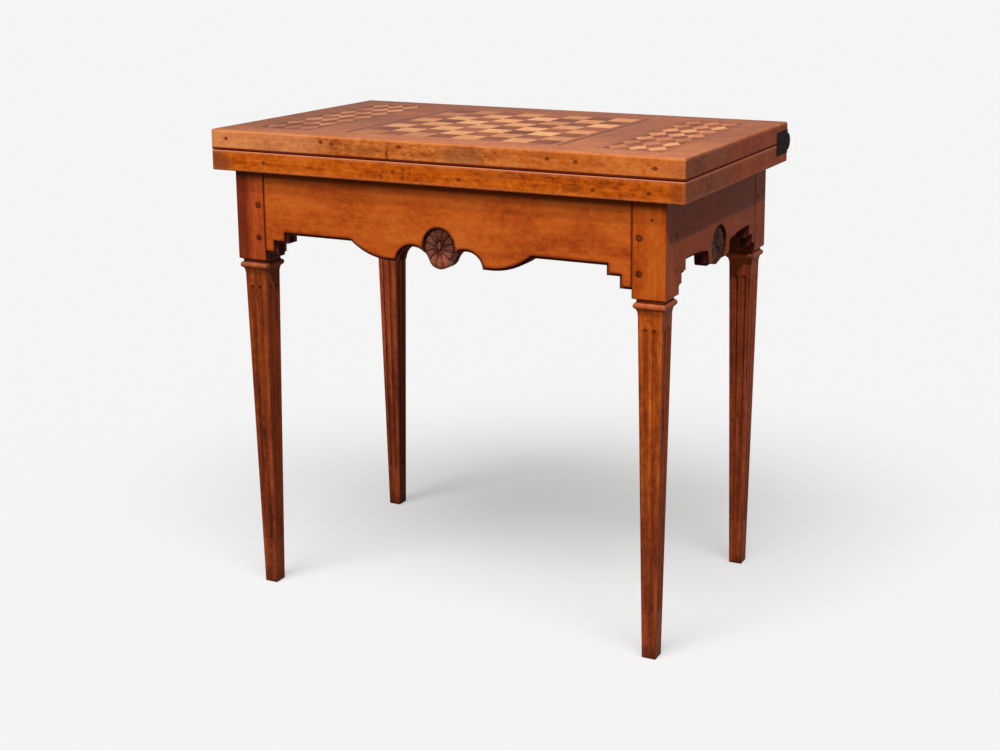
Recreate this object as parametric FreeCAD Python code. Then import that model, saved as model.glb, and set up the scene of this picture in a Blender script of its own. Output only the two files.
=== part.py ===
import FreeCAD, Part
import math
import os
from FreeCAD import Vector

# Chess table with a fold-over inlaid top and one swing leg.
#
# Millimetres. +X runs along the table, +Y to the hinged back edge, +Z up.
# The origin is on the floor, under the middle of the closed table.
# The upper leaf opens about the hinge axis at the back edge and lands level with the
# fixed lower leaf, where the rear left leg, swung out on its fly rail, carries it.

# ---------------------------------------------------------------- sizes: top
table_height = 760.0
top_length = 796.0
top_depth = 470.0
leaf_thickness = 32.0
leaf_gap = 0.8             # between the closed leaves
leaf_corner_radius = 3.0
leaf_inner_arris_radius = 1.2   # where the closed leaves meet
upper_leaf_arris_radius = 4.0
lower_leaf_arris_radius = 2.2
front_board_width = 188.0  # each leaf is two boards, edge to edge

# ---------------------------------------------------------------- sizes: inlay
inlay_thickness = 3.0
square_size = 42.4
squares_per_side = 8
board_front_margin = 55.5  # leaf edge to the first row of squares
side_band_gap = 8.0        # squares to the band beside them
side_band_width = 6.0
side_band_overrun = 5.0    # how far a side band passes the rows at each end
lozenge_width = 30.5
lozenge_length = 52.0
lozenge_columns = 3
lozenge_rows = 7
panel_end_margin = 103.0   # leaf end to the middle of a lozenge panel
panel_front_margin = 51.0  # leaf edge to the first lozenges
panel_side_gap = 4.5       # lozenges to the stringing beside them
panel_end_gap = 2.5        # lozenges to the stringing at their ends
stringing_width = 1.8

# ---------------------------------------------------------------- sizes: frame and aprons
end_overhang = 33.0        # leaves beyond the frame
front_overhang = 14.5
back_overhang = 6.5
leg_block = 52.0
apron_set_back = 0.5       # apron faces behind the faces of the leg blocks
front_apron_thickness = 28.0
side_apron_thickness = 22.0
edge_rebate_width = 4.5    # the stepped lower edge of an apron
edge_rebate_depth = 4.5
front_flat_drop = 98.4     # leaf underside to the straight lower edge
side_flat_drop = 98.4
front_first_step_drop = 112.8
front_second_step_drop = 130.4
side_first_step_drop = 115.8
side_second_step_drop = 132.4
front_step_tread = 20.3
side_step_tread = 16.2
front_lobe_drop = 123.2
front_lobe_start = 156.0   # these run from the middle of the apron
front_lobe_tangent = 87.0
arch_crown_drop = 98.2
arch_radius = 26.8
pendant_drop = 129.2
pendant_radius = 22.0
side_lobe_drop = 126.0
side_slope_start = 118.0
side_slope_end = 52.0
side_slope_rise = 7.0      # how far the lower edge falls along the slope
side_lobe_half_width = 50.0
side_lobe_corner = 7.0

# ---------------------------------------------------------------- sizes: rosettes
front_rosette_width = 56.5
front_rosette_height = 64.0
front_rosette_drop = 96.4  # leaf underside to the middle of the rosette
side_rosette_width = 68.0
side_rosette_height = 62.0
side_rosette_drop = 100.3
rosette_depth = 14.0
rosette_plate = 7.0
petal_count = 12
petal_radius = 5.6
petal_root_radius = 1.6
petal_root = 0.2           # share of the half width where a petal starts
petal_end_gap = 0.8        # petal ends to the edge
pendant_petal_slope = 0.4  # petals that fall more steeply than this end at the pendant's edge
boss_radius = 6.0

# ---------------------------------------------------------------- sizes: legs
leg_block_height = 143.0
block_arris_radius = 1.5
block_foot_radius = 2.5
neck_height = 4.5
neck_width = 41.5
torus_radius = 5.5
torus_width = 49.5
torus_end_angle = 70.0
cove_height = 10.5
shaft_top_width = 38.0
foot_width = 22.0
foot_ease = 1.2
flute_width = 7.5
flute_depth = 2.4
flute_spacing = 14.2
flute_top_drop = 21.0      # below the top of the shaft
flute_foot = 78.0          # above the floor

# ---------------------------------------------------------------- sizes: joinery
tenon_thickness = 9.0
tenon_length = 32.0
tenon_top_drop = 15.0      # leaf underside to the top of a tenon
tenon_height = 98.0
joint_gap = 0.1            # glue line round a tenon
tenon_end_gap = 0.5
peg_radius = 4.4
peg_inset = 11.0           # block edge to peg
peg_depth = 27.0
peg_upper_drop = 54.0
peg_lower_drop = 106.0
peg_gap = 0.03
rail_peg_spacing = 38.0    # between the two pegs of a back rail's tenon

# ---------------------------------------------------------------- sizes: back
back_rail_height = 95.0
inner_rail_thickness = 20.0
inner_rail_set_back = 30.0  # its back face in front of the legs' back faces
rail_tenon_length = 28.0
rail_tenon_height = 70.0
dovetail_count = 3
dovetail_root = 15.0
dovetail_flare = 2.5
swing_gap = 0.5            # between the swing leg, its rail and the carcass
fly_rail_thickness = 24.5
gate_pin_radius = 4.0
gate_pin_gap = 0.06
gate_pin_x = -10.0
knuckle_layers = 5
knuckle_gap = 0.4
gate_flange = 10.5         # what the notched leg block keeps outside the side apron
rail_screw_end_margin = 36.0
rail_screw_spacing = 38.0

# ---------------------------------------------------------------- sizes: hinges
hinge_plate_length = 60.0
hinge_upper_height = 20.0
hinge_lower_height = 18.0
hinge_plate_thickness = 3.0
hinge_eye_radius = 14.0
hinge_eye_gap = 0.4        # round an eye
hinge_layer_gap = 0.3      # between the two eyes
hinge_pin_radius = 3.5
hinge_pin_gap = 0.05
hinge_web_length = 27.0
hinge_screw_places = (16.0, 34.0)   # from the front end of a plate

# ---------------------------------------------------------------- sizes: small parts
plate_screw_head_radius = 3.6
plate_screw_radius = 1.8
plate_screw_length = 20.0
block_screw_head_radius = 4.6
block_screw_radius = 2.2
block_screw_length = 44.0
rail_screw_length = 34.0
screw_slot_width = 0.9
screw_slot_depth = 0.8
screw_point_length = 5.0
screw_tip_radius = 0.4
glue_block_size = 28.0
glue_block_length = 70.0
glue_block_leg_gap = 45.0  # leg block to the nearest glue block
plug_radius = 2.4
plug_depth = 12.0
# Plugs in a leaf's front edge: distance from the nearer end, height above the leaf's underside.
upper_left_plugs = ((29.0, 18.0), (205.0, 22.0), (224.0, 20.5), (343.0, 22.0))
upper_right_plugs = ((45.0, 15.5), (166.0, 17.5), (210.0, 19.5))
lower_left_plugs = ((98.0, 16.0), (331.0, 17.0))
lower_right_plugs = ((54.0, 12.5), (139.0, 12.0), (354.0, 12.5))

# ---------------------------------------------------------------- levels and places
upper_top = table_height
upper_bottom = upper_top - leaf_thickness
lower_top = upper_bottom - leaf_gap
lower_bottom = lower_top - leaf_thickness
leaf_end = top_length / 2
leaf_front = -(top_depth + leaf_gap / 2 + hinge_eye_radius) / 2
leaf_back = leaf_front + top_depth
hinge_y = leaf_back + leaf_gap / 2
hinge_z = lower_top + leaf_gap / 2

frame_end = leaf_end - end_overhang
frame_front = leaf_front + front_overhang
frame_back = leaf_back - back_overhang
frame_middle = (frame_front + frame_back) / 2
front_half = frame_end - leg_block
side_half = (frame_back - frame_front) / 2 - leg_block

block_bottom = lower_bottom - leg_block_height
gate_top = lower_bottom - swing_gap
rail_bottom = lower_bottom - back_rail_height
tenon_top = lower_bottom - tenon_top_drop
inner_rail_back = frame_back - inner_rail_set_back
inner_rail_front = inner_rail_back - inner_rail_thickness
barrel_radius = fly_rail_thickness / 2
gate_pin_y = inner_rail_back + swing_gap + barrel_radius
side_apron_outside = frame_end - apron_set_back
side_apron_inside = side_apron_outside - side_apron_thickness

recess_floor = upper_top - inlay_thickness
board_half = square_size * squares_per_side / 2
board_front = leaf_front + board_front_margin
panel_middle = leaf_end - panel_end_margin
panel_front = leaf_front + panel_front_margin
panel_half = lozenge_width * lozenge_columns / 2
panel_length = lozenge_length * lozenge_rows

X = Vector(1, 0, 0)
Y = Vector(0, 1, 0)
Z = Vector(0, 0, 1)
ORIGIN = Vector(0, 0, 0)
front_flower = (front_rosette_width / 2, front_rosette_height / 2, lower_bottom - front_rosette_drop)
side_flower = (side_rosette_width / 2, side_rosette_height / 2, lower_bottom - side_rosette_drop)
nodes = {}


# ---------------------------------------------------------------- helpers
def box(low, high):
    """A box from its lowest to its highest corner."""
    return Part.makeBox(high[0] - low[0], high[1] - low[1], high[2] - low[2], Vector(*low))


def rod(radius, start, direction, length):
    """A cylinder from a start point."""
    return Part.makeCylinder(radius, length, Vector(*start), direction)


def plate(edges, depth):
    """A plate whose outline is closed edges in the XZ plane, grown along +Y."""
    outline = Part.Wire(Part.__sortEdges__(edges))
    return Part.Face(outline).extrude(Y * depth)


def path(points):
    """Straight edges through (x, z) points."""
    corners = [Vector(x, 0, z) for x, z in points]
    return [Part.LineSegment(a, b).toShape() for a, b in zip(corners, corners[1:])]


def arc(start, middle, end):
    """An arc edge through three (x, z) points."""
    return Part.Arc(*[Vector(x, 0, z) for x, z in (start, middle, end)]).toShape()


def mirrored(shape, normal=X):
    """The shape's mirror image through the origin."""
    return shape.mirror(ORIGIN, normal)


def turned(shape, degrees):
    """A copy of the shape, turned about the Z axis."""
    copy = shape.copy()
    copy.rotate(ORIGIN, Z, degrees)
    return copy


def moved(shape, x, y, z=0.0):
    """A moved copy of the shape."""
    copy = shape.copy()
    copy.translate(Vector(x, y, z))
    return copy


def rounded(shape, radius, wanted):
    """Fillets the straight edges for which wanted(start, end) holds."""
    edges = [e for e in shape.Edges if wanted(e.Vertexes[0].Point, e.Vertexes[-1].Point)]
    return shape.makeFillet(radius, edges)


def round_ended_taper(low_radius, high_radius, low, high):
    """A tapered rod with a ball at each end, from one ball's middle to the other's."""
    run = high - low
    half_root = math.sqrt(0.5)
    low_ball = arc((0, -low_radius), (low_radius * half_root, -low_radius * half_root), (low_radius, 0))
    flank = path([(low_radius, 0), (high_radius, run.Length)])
    high_ball = arc((high_radius, run.Length),
                    (high_radius * half_root, run.Length + high_radius * half_root),
                    (0, run.Length + high_radius))
    axis = path([(0, run.Length + high_radius), (0, -low_radius)])
    section = Part.Face(Part.Wire([low_ball] + flank + [high_ball] + axis))
    solid = section.revolve(ORIGIN, Z, 360)
    solid.Placement = FreeCAD.Placement(low, FreeCAD.Rotation(Z, run))
    return solid


def one_solid(shape):
    """The single solid that a Boolean result holds."""
    cleaned = shape.removeSplitter()
    if len(cleaned.Solids) != 1:
        raise ValueError("expected one solid, found %d" % len(cleaned.Solids))
    return cleaned.Solids[0]


def wood_screw(head_radius, radius, length):
    """A slotted countersunk screw: head at the origin, point along +Z."""
    head_height = head_radius - radius
    head = Part.makeCone(head_radius, radius, head_height)
    shank = Part.makeCylinder(radius, length - screw_point_length)
    point = Part.makeCone(radius, screw_tip_radius, screw_point_length, Z * (length - screw_point_length))
    slot = box((-head_radius, -screw_slot_width / 2, 0),
               (head_radius, screw_slot_width / 2, screw_slot_depth))
    return one_solid(head.fuse([shank, point])), slot


def drive(head_radius, radius, length, place, direction):
    """A screw at a place, pointing along a direction, as (slotted screw, bore for its hole)."""
    body, slot = wood_screw(head_radius, radius, length)
    aim = FreeCAD.Placement(Vector(*place), FreeCAD.Rotation(Z, direction))
    bore = body.copy()
    bore.Placement = aim
    screw = body.cut(slot)
    screw.Placement = aim
    return one_solid(screw), bore


# ---------------------------------------------------------------- leaves
def leaf(inner, outer, outer_arris_radius):
    """A whole leaf between its inner and outer face, with eased corners and arrises."""
    slab = box((-leaf_end, leaf_front, min(inner, outer)), (leaf_end, leaf_back, max(inner, outer)))
    slab = rounded(slab, leaf_corner_radius, lambda a, b: abs(a.z - b.z) > leaf_thickness / 2)
    reach = leaf_thickness / 2
    slab = rounded(slab, leaf_inner_arris_radius, lambda a, b: abs(a.z + b.z - 2 * inner) < reach)
    return rounded(slab, outer_arris_radius, lambda a, b: abs(a.z + b.z - 2 * outer) < reach)


def split_boards(slab):
    """The front and the back board of a leaf."""
    joint = leaf_front + front_board_width
    front_half_space = box((-top_length, leaf_front - top_depth, 0), (top_length, joint, 2 * table_height))
    return one_solid(slab.common(front_half_space)), one_solid(slab.cut(front_half_space))


def edge_plugs(left, right, bottom):
    """Wooden plugs in the front edge of a leaf."""
    places = [(inset - leaf_end, bottom + rise) for inset, rise in left]
    places += [(leaf_end - inset, bottom + rise) for inset, rise in right]
    return [rod(plug_radius, (x, leaf_front, z), Y, plug_depth) for x, z in places]


# ---------------------------------------------------------------- inlay
def squares(colour):
    """The squares of one colour: 0 is the light ones, with one at the front left corner."""
    found = []
    for column in range(squares_per_side):
        for row in range(squares_per_side):
            if (column + row) % 2 == colour:
                x = -board_half + column * square_size
                y = board_front + row * square_size
                found.append(box((x, y, recess_floor), (x + square_size, y + square_size, upper_top)))
    return found


def side_bands():
    """The dark bands left and right of the squares."""
    low = board_front - side_band_overrun
    high = board_front + 2 * board_half + side_band_overrun
    inner = board_half + side_band_gap
    right = box((inner, low, recess_floor), (inner + side_band_width, high, upper_top))
    return [mirrored(right), right]


def panel_field():
    """The rectangle that the lozenges of the right panel fill."""
    return box((panel_middle - panel_half, panel_front, recess_floor),
               (panel_middle + panel_half, panel_front + panel_length, upper_top))


def lozenge(x, y):
    """One lozenge of veneer about its middle."""
    half_width = lozenge_width / 2
    half_length = lozenge_length / 2
    corners = [Vector(x - half_width, y, recess_floor), Vector(x, y - half_length, recess_floor),
               Vector(x + half_width, y, recess_floor), Vector(x, y + half_length, recess_floor)]
    return Part.Face(Part.makePolygon(corners + corners[:1])).extrude(Z * inlay_thickness)


def light_lozenges():
    """Whole lozenges in rows and columns, in the right panel and then the left one."""
    left_column = panel_middle - panel_half + lozenge_width / 2
    first_row = panel_front + lozenge_length / 2
    right = [lozenge(left_column + i * lozenge_width, first_row + j * lozenge_length)
             for i in range(lozenge_columns) for j in range(lozenge_rows)]
    return right + [mirrored(piece) for piece in right]


def dark_lozenges():
    """Lozenges between the light ones, cut off at the edges of each panel's field."""
    field = panel_field()
    right = []
    for i in range(lozenge_columns + 1):
        for j in range(lozenge_rows + 1):
            whole = lozenge(panel_middle - panel_half + i * lozenge_width, panel_front + j * lozenge_length)
            right.append(one_solid(whole.common(field)))
    return right + [mirrored(piece) for piece in right]


def stringing():
    """Thin dark lines round each lozenge panel."""
    inner_x = panel_half + panel_side_gap
    outer_x = inner_x + stringing_width
    inner_low = panel_front - panel_end_gap
    inner_high = panel_front + panel_length + panel_end_gap
    lines = []
    for side in (-1, 1):
        near = panel_middle + side * inner_x
        far = panel_middle + side * outer_x
        lines.append(box((min(near, far), inner_low - stringing_width, recess_floor),
                         (max(near, far), inner_high + stringing_width, upper_top)))
    for low in (inner_low - stringing_width, inner_high):
        lines.append(box((panel_middle - inner_x, low, recess_floor),
                         (panel_middle + inner_x, low + stringing_width, upper_top)))
    return lines + [mirrored(line) for line in lines]


# ---------------------------------------------------------------- hinges
def hinge_disc(radius, inner, outer):
    """A disc about the hinge axis between two places along X."""
    return rod(radius, (inner, hinge_y, hinge_z), X, outer - inner)


def right_hinge():
    """The right hinge as upper plate, lower plate, pin, and the room that the two eyes need."""
    outer = leaf_end
    layer = outer - hinge_plate_thickness
    eye_outer = layer - hinge_layer_gap
    eye_inner = eye_outer - hinge_plate_thickness
    front = leaf_back - hinge_plate_length
    sweep = hinge_eye_radius + hinge_eye_gap

    upper = box((layer, front, upper_bottom), (outer, hinge_y, upper_bottom + hinge_upper_height))
    upper = upper.fuse(hinge_disc(hinge_eye_radius, layer, outer))
    upper = upper.cut(hinge_disc(hinge_pin_radius + hinge_pin_gap, layer, outer))

    low = lower_top - hinge_lower_height
    lower = box((layer, front, low), (outer, leaf_back, lower_top))
    web = box((eye_inner, leaf_back - hinge_web_length, low), (layer, leaf_back, lower_top))
    lower = lower.fuse(web).cut(hinge_disc(sweep, eye_outer, outer))
    lower = lower.fuse(hinge_disc(hinge_eye_radius, eye_inner, eye_outer))
    lower = lower.cut(hinge_disc(hinge_pin_radius, eye_inner, eye_outer))

    pin = hinge_disc(hinge_pin_radius, eye_inner, outer)
    room = hinge_disc(sweep, eye_inner - hinge_eye_gap, outer)
    return one_solid(upper), one_solid(lower), pin, room


def hinge_screws(level):
    """Screws of the right hinge's plate whose middle is at this level, as (screw, bore) pairs."""
    front = leaf_back - hinge_plate_length
    return [drive(plate_screw_head_radius, plate_screw_radius, plate_screw_length,
                  (leaf_end, front + place, level), -X) for place in hinge_screw_places]


# ---------------------------------------------------------------- aprons
def apron_outline(half, tread, levels, shape_edges):
    """The closed outline of an apron about its middle. levels are those of the lower step, the upper
    step and the flat edge; shape_edges run from the flat edge to the middle."""
    second, first, flat = levels
    start = shape_edges[0].Vertexes[0].Point
    half_edges = path([(0, lower_bottom), (half, lower_bottom), (half, second), (half - tread, second),
                       (half - tread, first), (half - 2 * tread, first), (half - 2 * tread, flat),
                       (start.x, flat)])
    half_edges += shape_edges
    return half_edges + [mirrored(edge) for edge in half_edges]


def on_circle(middle, radius, degrees):
    """The (x, z) point of a circle at an angle above +X."""
    turn = math.radians(degrees)
    return middle[0] + radius * math.cos(turn), middle[1] + radius * math.sin(turn)


def arc_of(middle, radius, start, end):
    """The arc of a circle between two angles in degrees."""
    return arc(*[on_circle(middle, radius, a) for a in (start, (start + end) / 2, end)])


def front_levels():
    """Levels of the front apron's lower step, upper step and flat edge."""
    return [lower_bottom - drop for drop in (front_second_step_drop, front_first_step_drop, front_flat_drop)]


def side_levels():
    """Levels of a side apron's lower step, upper step and flat edge."""
    return [lower_bottom - drop for drop in (side_second_step_drop, side_first_step_drop, side_flat_drop)]


def front_outline():
    """The front apron: steps, straight edge, round lobe, arch, and the pendant under the rosette."""
    flat = lower_bottom - front_flat_drop
    lobe = lower_bottom - front_lobe_drop
    run = front_lobe_start - front_lobe_tangent
    rise = flat - lobe
    radius = (run ** 2 + rise ** 2) / (2 * rise)
    half_turn = math.atan2(rise, run)
    bend = (front_lobe_tangent + radius * math.sin(half_turn), lobe + radius * (1 - math.cos(half_turn)))

    pendant = (0, lower_bottom - pendant_drop + pendant_radius)
    arch_level = lower_bottom - arch_crown_drop - arch_radius
    reach = arch_radius + pendant_radius
    arch = (math.sqrt(reach ** 2 - (pendant[1] - arch_level) ** 2), arch_level)
    lobe_angle = math.degrees(math.asin((lobe - arch_level) / arch_radius))
    meeting_angle = math.degrees(math.acos((pendant[0] - arch[0]) / reach))
    corner = on_circle(arch, arch_radius, lobe_angle)
    shape = [arc((front_lobe_start, flat), bend, (front_lobe_tangent, lobe))]
    shape += path([(front_lobe_tangent, lobe), corner])
    shape.append(arc_of(arch, arch_radius, lobe_angle, meeting_angle))
    shape.append(arc_of(pendant, pendant_radius, meeting_angle - 180, -90))
    return apron_outline(front_half, front_step_tread, front_levels(), shape)


def side_outline():
    """A side apron: steps, an edge that falls gently, and a square lobe with round corners."""
    flat = lower_bottom - side_flat_drop
    lobe = lower_bottom - side_lobe_drop
    run = side_slope_start - side_slope_end
    radius = (run ** 2 + side_slope_rise ** 2) / (2 * side_slope_rise)
    half_turn = math.atan2(side_slope_rise, run)
    bend = (side_slope_start - radius * math.sin(half_turn), flat - radius * (1 - math.cos(half_turn)))
    round_middle = (side_lobe_half_width - side_lobe_corner, lobe + side_lobe_corner)
    shape = [arc((side_slope_start, flat), bend, (side_slope_end, flat - side_slope_rise))]
    shape += path([(side_slope_end, flat - side_slope_rise), on_circle(round_middle, side_lobe_corner, 0)])
    shape.append(arc_of(round_middle, side_lobe_corner, 0, -90))
    shape += path([on_circle(round_middle, side_lobe_corner, -90), (0, lobe)])
    return apron_outline(side_half, side_step_tread, side_levels(), shape)


def oval(flower, depth, start=0.0):
    """An upright oval plate, from y = start. flower is (half width, half height, middle's level)."""
    half_width, half_height, level = flower
    middle = Vector(0, 0, level)
    long_way, short_way = sorted((X * half_width, Z * half_height), key=lambda way: -way.Length)
    ellipse = Part.Ellipse(middle + long_way, middle + short_way, middle)
    return moved(plate([ellipse.toShape()], depth), 0, start)


def stepped_board(outline, half, tread, step, thickness):
    """A board of this outline whose lower edge is stepped back at the front. step is the lower
    step's level."""
    back = moved(plate(outline, thickness - edge_rebate_depth), 0, edge_rebate_depth)
    face = Part.Face(Part.Wire(Part.__sortEdges__(outline)))
    front = face.makeOffset2D(-edge_rebate_width, 1).extrude(Y * edge_rebate_depth)
    strip = box((-half, 0, lower_bottom - 2 * edge_rebate_width), (half, edge_rebate_depth, lower_bottom))
    end = box((half - tread + edge_rebate_width, 0, step + edge_rebate_width),
              (half, edge_rebate_depth, lower_bottom))
    return back.fuse([front, strip, end, mirrored(end)])


def apron(board, flower, half, thickness):
    """An apron with its outside face in the plane y = 0, a tenon at each end and room for its rosette."""
    cheek = (thickness - tenon_thickness) / 2
    tenon = box((half, cheek, tenon_top - tenon_height),
                (half + tenon_length, cheek + tenon_thickness, tenon_top))
    return one_solid(board.fuse([tenon, mirrored(tenon)]).cut(oval(flower, rosette_depth)))


def rosette(flower, plate_shape, petal_limit):
    """A carved flower on a plate at the bottom of the room in an apron whose face is the plane y = 0."""
    half_width, half_height, level = flower
    middle = Vector(0, rosette_depth - rosette_plate, level)
    pieces = [plate_shape]
    for number in range(petal_count):
        angle = 2 * math.pi * number / petal_count
        across = math.sin(angle) * half_width
        up = -math.cos(angle) * half_height
        way = Vector(across, 0, up).normalize()
        reach = min(math.hypot(across, up), petal_limit(way))
        length = reach * (1 - petal_root) - petal_radius - petal_end_gap
        root = middle + way * (reach * petal_root)
        pieces.append(round_ended_taper(petal_root_radius, petal_radius, root, root + way * length))
    pieces.append(Part.makeSphere(boss_radius, middle))
    return one_solid(pieces[0].fuse(pieces[1:]))


def front_rosette():
    """The front rosette, trimmed to the pendant that carries it."""
    level = front_flower[2]
    drop = level - (lower_bottom - pendant_drop + pendant_radius)
    base = oval(front_flower, rosette_plate, rosette_depth - rosette_plate)
    silhouette = plate(front_outline(), front_apron_thickness)

    def to_pendant_edge(way):
        """Distance from the rosette's middle to the pendant's edge, for ways that point down."""
        if way.z > -pendant_petal_slope:
            return math.inf
        return -drop * way.z + math.sqrt((drop * way.z) ** 2 + pendant_radius ** 2 - drop ** 2)

    return rosette(front_flower, base.common(silhouette), to_pendant_edge)


def side_rosette():
    """A side rosette: the whole oval."""
    base = oval(side_flower, rosette_plate, rosette_depth - rosette_plate)
    return rosette(side_flower, base, lambda way: math.inf)


def on_front(shape):
    """Moves an apron's own frame to the front of the table."""
    return moved(shape, 0, frame_front + apron_set_back)


def on_side(shape, side):
    """Moves an apron's own frame to the right (side 1) or the left (side -1) of the table."""
    return moved(turned(shape, 90 * side), side * side_apron_outside, frame_middle)


# ---------------------------------------------------------------- legs
def shaft_half_width(level):
    """Half the width of the tapered shaft at a level."""
    shaft_top = block_bottom - neck_height - 2 * torus_radius - cove_height
    return (foot_width + (shaft_top_width - foot_width) * level / shaft_top) / 2


def leg_profile():
    """The outline of the leg below its block: square in plan, the same from front and side."""
    neck = neck_width / 2
    torus_level = block_bottom - neck_height - torus_radius
    torus_middle = torus_width / 2 - torus_radius
    end_angle = math.radians(torus_end_angle)
    lip = (torus_middle + torus_radius * math.cos(end_angle),
           torus_level - torus_radius * math.sin(end_angle))
    neck_foot = torus_level + math.sqrt(torus_radius ** 2 - (neck - torus_middle) ** 2)
    shaft_top = block_bottom - neck_height - 2 * torus_radius - cove_height
    shaft = shaft_top_width / 2
    run = lip[0] - shaft
    rise = lip[1] - shaft_top
    cove_radius = (run ** 2 + rise ** 2) / (2 * run)
    half_turn = math.atan2(run, rise)
    hollow = (shaft + cove_radius * (1 - math.cos(half_turn)), shaft_top + cove_radius * math.sin(half_turn))
    edges = path([(0, 0), (foot_width / 2 - foot_ease, 0), (shaft_half_width(foot_ease), foot_ease),
                  (shaft, shaft_top)])
    edges += [arc((shaft, shaft_top), hollow, lip)]
    edges += [arc(lip, (torus_middle + torus_radius, torus_level), (neck, neck_foot))]
    edges += path([(neck, neck_foot), (neck, block_bottom), (0, block_bottom)])
    return edges + [mirrored(edge) for edge in edges]


def flutes():
    """The two tapered flutes of each face of the shaft."""
    shaft_top = block_bottom - neck_height - 2 * torus_radius - cove_height
    top = shaft_top - flute_top_drop
    ends = []
    for level in (flute_foot, top):
        half_width = shaft_half_width(level)
        share = half_width / (shaft_top_width / 2)
        width = flute_width * share
        depth = flute_depth * share
        radius = (width ** 2 / 4 + depth ** 2) / (2 * depth)
        ends.append((radius, flute_spacing / 2 * share, -half_width - radius + depth, level))
    tools = []
    for side in (-1, 1):
        (low_radius, low_x, low_y, low_z), (high_radius, high_x, high_y, high_z) = ends
        low = Vector(side * low_x, low_y, low_z)
        high = Vector(side * high_x, high_y, high_z)
        groove = round_ended_taper(low_radius, high_radius, low, high)
        tools += [turned(groove, 90 * quarter) for quarter in range(4)]
    return tools


def leg(top):
    """A leg about its own axis, its block's outside corner towards -X and -Y."""
    half = leg_block / 2
    across = moved(plate(leg_profile(), torus_width), 0, -torus_width / 2)
    turned_part = across.common(turned(across, 90)).cut(flutes())
    block = box((-half, -half, block_bottom), (half, half, top))
    block = rounded(block, block_foot_radius, lambda a, b: max(a.z, b.z) < block_bottom + block_foot_radius)
    block = rounded(block, block_arris_radius,
                    lambda a, b: a.z != b.z and max(a.x, b.x, a.y, b.y) < -half + block_arris_radius)
    return one_solid(block.fuse(turned_part))


def placed_leg(top, side, back):
    """A leg at the left (-1) or right (1) and at the front (-1) or back (1)."""
    shape = leg(top)
    if side > 0:
        shape = mirrored(shape, X)
    if back > 0:
        shape = mirrored(shape, Y)
    y = frame_middle + back * (side_half + leg_block / 2)
    return moved(shape, side * (frame_end - leg_block / 2), y)


def mortise(low, high):
    """Room for a tenon that fills low to high, with its glue line and end gap along the tenon."""
    along_x = high[0] - low[0] > high[1] - low[1]
    grow = (tenon_end_gap, joint_gap, joint_gap) if along_x else (joint_gap, tenon_end_gap, joint_gap)
    return box([v - g for v, g in zip(low, grow)], [v + g for v, g in zip(high, grow)])


def front_mortise(side):
    """Room in a front leg for the front apron's tenon."""
    cheek = frame_front + apron_set_back + (front_apron_thickness - tenon_thickness) / 2
    near = sorted((side * front_half, side * (front_half + tenon_length)))
    return mortise((near[0], cheek, tenon_top - tenon_height), (near[1], cheek + tenon_thickness, tenon_top))


def side_mortise(side, back):
    """Room in a leg for a side apron's tenon."""
    cheek = side_apron_outside - (side_apron_thickness - tenon_thickness) / 2
    across = sorted((side * cheek, side * (cheek - tenon_thickness)))
    along = sorted((frame_middle + back * side_half, frame_middle + back * (side_half + tenon_length)))
    return mortise((across[0], along[0], tenon_top - tenon_height), (across[1], along[1], tenon_top))


def pegs(x, y, direction, depth, levels):
    """Pegs at two levels, as (peg, bore) pairs."""
    return [(rod(peg_radius, (x, y, level), direction, depth),
             rod(peg_radius + peg_gap, (x, y, level), direction, depth)) for level in levels]


# ---------------------------------------------------------------- back of the frame
def layer_levels(number, gap):
    """Bottom and top of one knuckle layer, with a gap taken off each."""
    height = (gate_top - rail_bottom) / knuckle_layers
    return rail_bottom + number * height + gap, rail_bottom + (number + 1) * height - gap


def knuckled_rail(side, end, first_layer, top):
    """A rail from the knuckle joint to x = end, with rounded fingers in every second layer."""
    reach = side * (barrel_radius + swing_gap)
    near, far = sorted((gate_pin_x + reach, end))
    rail = [box((near, gate_pin_y - barrel_radius, rail_bottom), (far, gate_pin_y + barrel_radius, top))]
    for number in range(first_layer, knuckle_layers, 2):
        low, high = layer_levels(number, knuckle_gap / 2)
        low = rail_bottom if number == 0 else low
        high = top if number == knuckle_layers - 1 else high
        near, far = sorted((gate_pin_x, gate_pin_x + reach))
        rail.append(box((near, gate_pin_y - barrel_radius, low), (far, gate_pin_y + barrel_radius, high)))
        rail.append(rod(barrel_radius, (gate_pin_x, gate_pin_y, low), Z, high - low))
    return rail[0].fuse(rail[1:])


def gate_pin():
    """The iron rod through the knuckle joint."""
    return rod(gate_pin_radius, (gate_pin_x, gate_pin_y, rail_bottom), Z, back_rail_height)


def outer_back_rail():
    """The fixed half of the outer back rail, packed out to lie against the inner rail."""
    start = gate_pin_x + barrel_radius + swing_gap
    packing = box((start, inner_rail_back, rail_bottom),
                  (front_half, gate_pin_y - barrel_radius, lower_bottom))
    rail = knuckled_rail(1, front_half, 0, lower_bottom).fuse(packing)
    return one_solid(rail.cut(gate_pin()))


def fly_rail_tenon():
    """The fly rail's tenon in the swing leg, as low and high corners."""
    low_z = rail_bottom + (back_rail_height - rail_tenon_height) / 2
    return ((-front_half - rail_tenon_length, gate_pin_y - tenon_thickness / 2, low_z),
            (-front_half, gate_pin_y + tenon_thickness / 2, low_z + rail_tenon_height))


def fly_rail():
    """The rail that carries the swing leg."""
    rail = knuckled_rail(-1, -front_half, 1, gate_top).fuse(box(*fly_rail_tenon()))
    bore = rod(gate_pin_radius + gate_pin_gap, (gate_pin_x, gate_pin_y, rail_bottom), Z, back_rail_height)
    return one_solid(rail.cut(bore))


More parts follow.
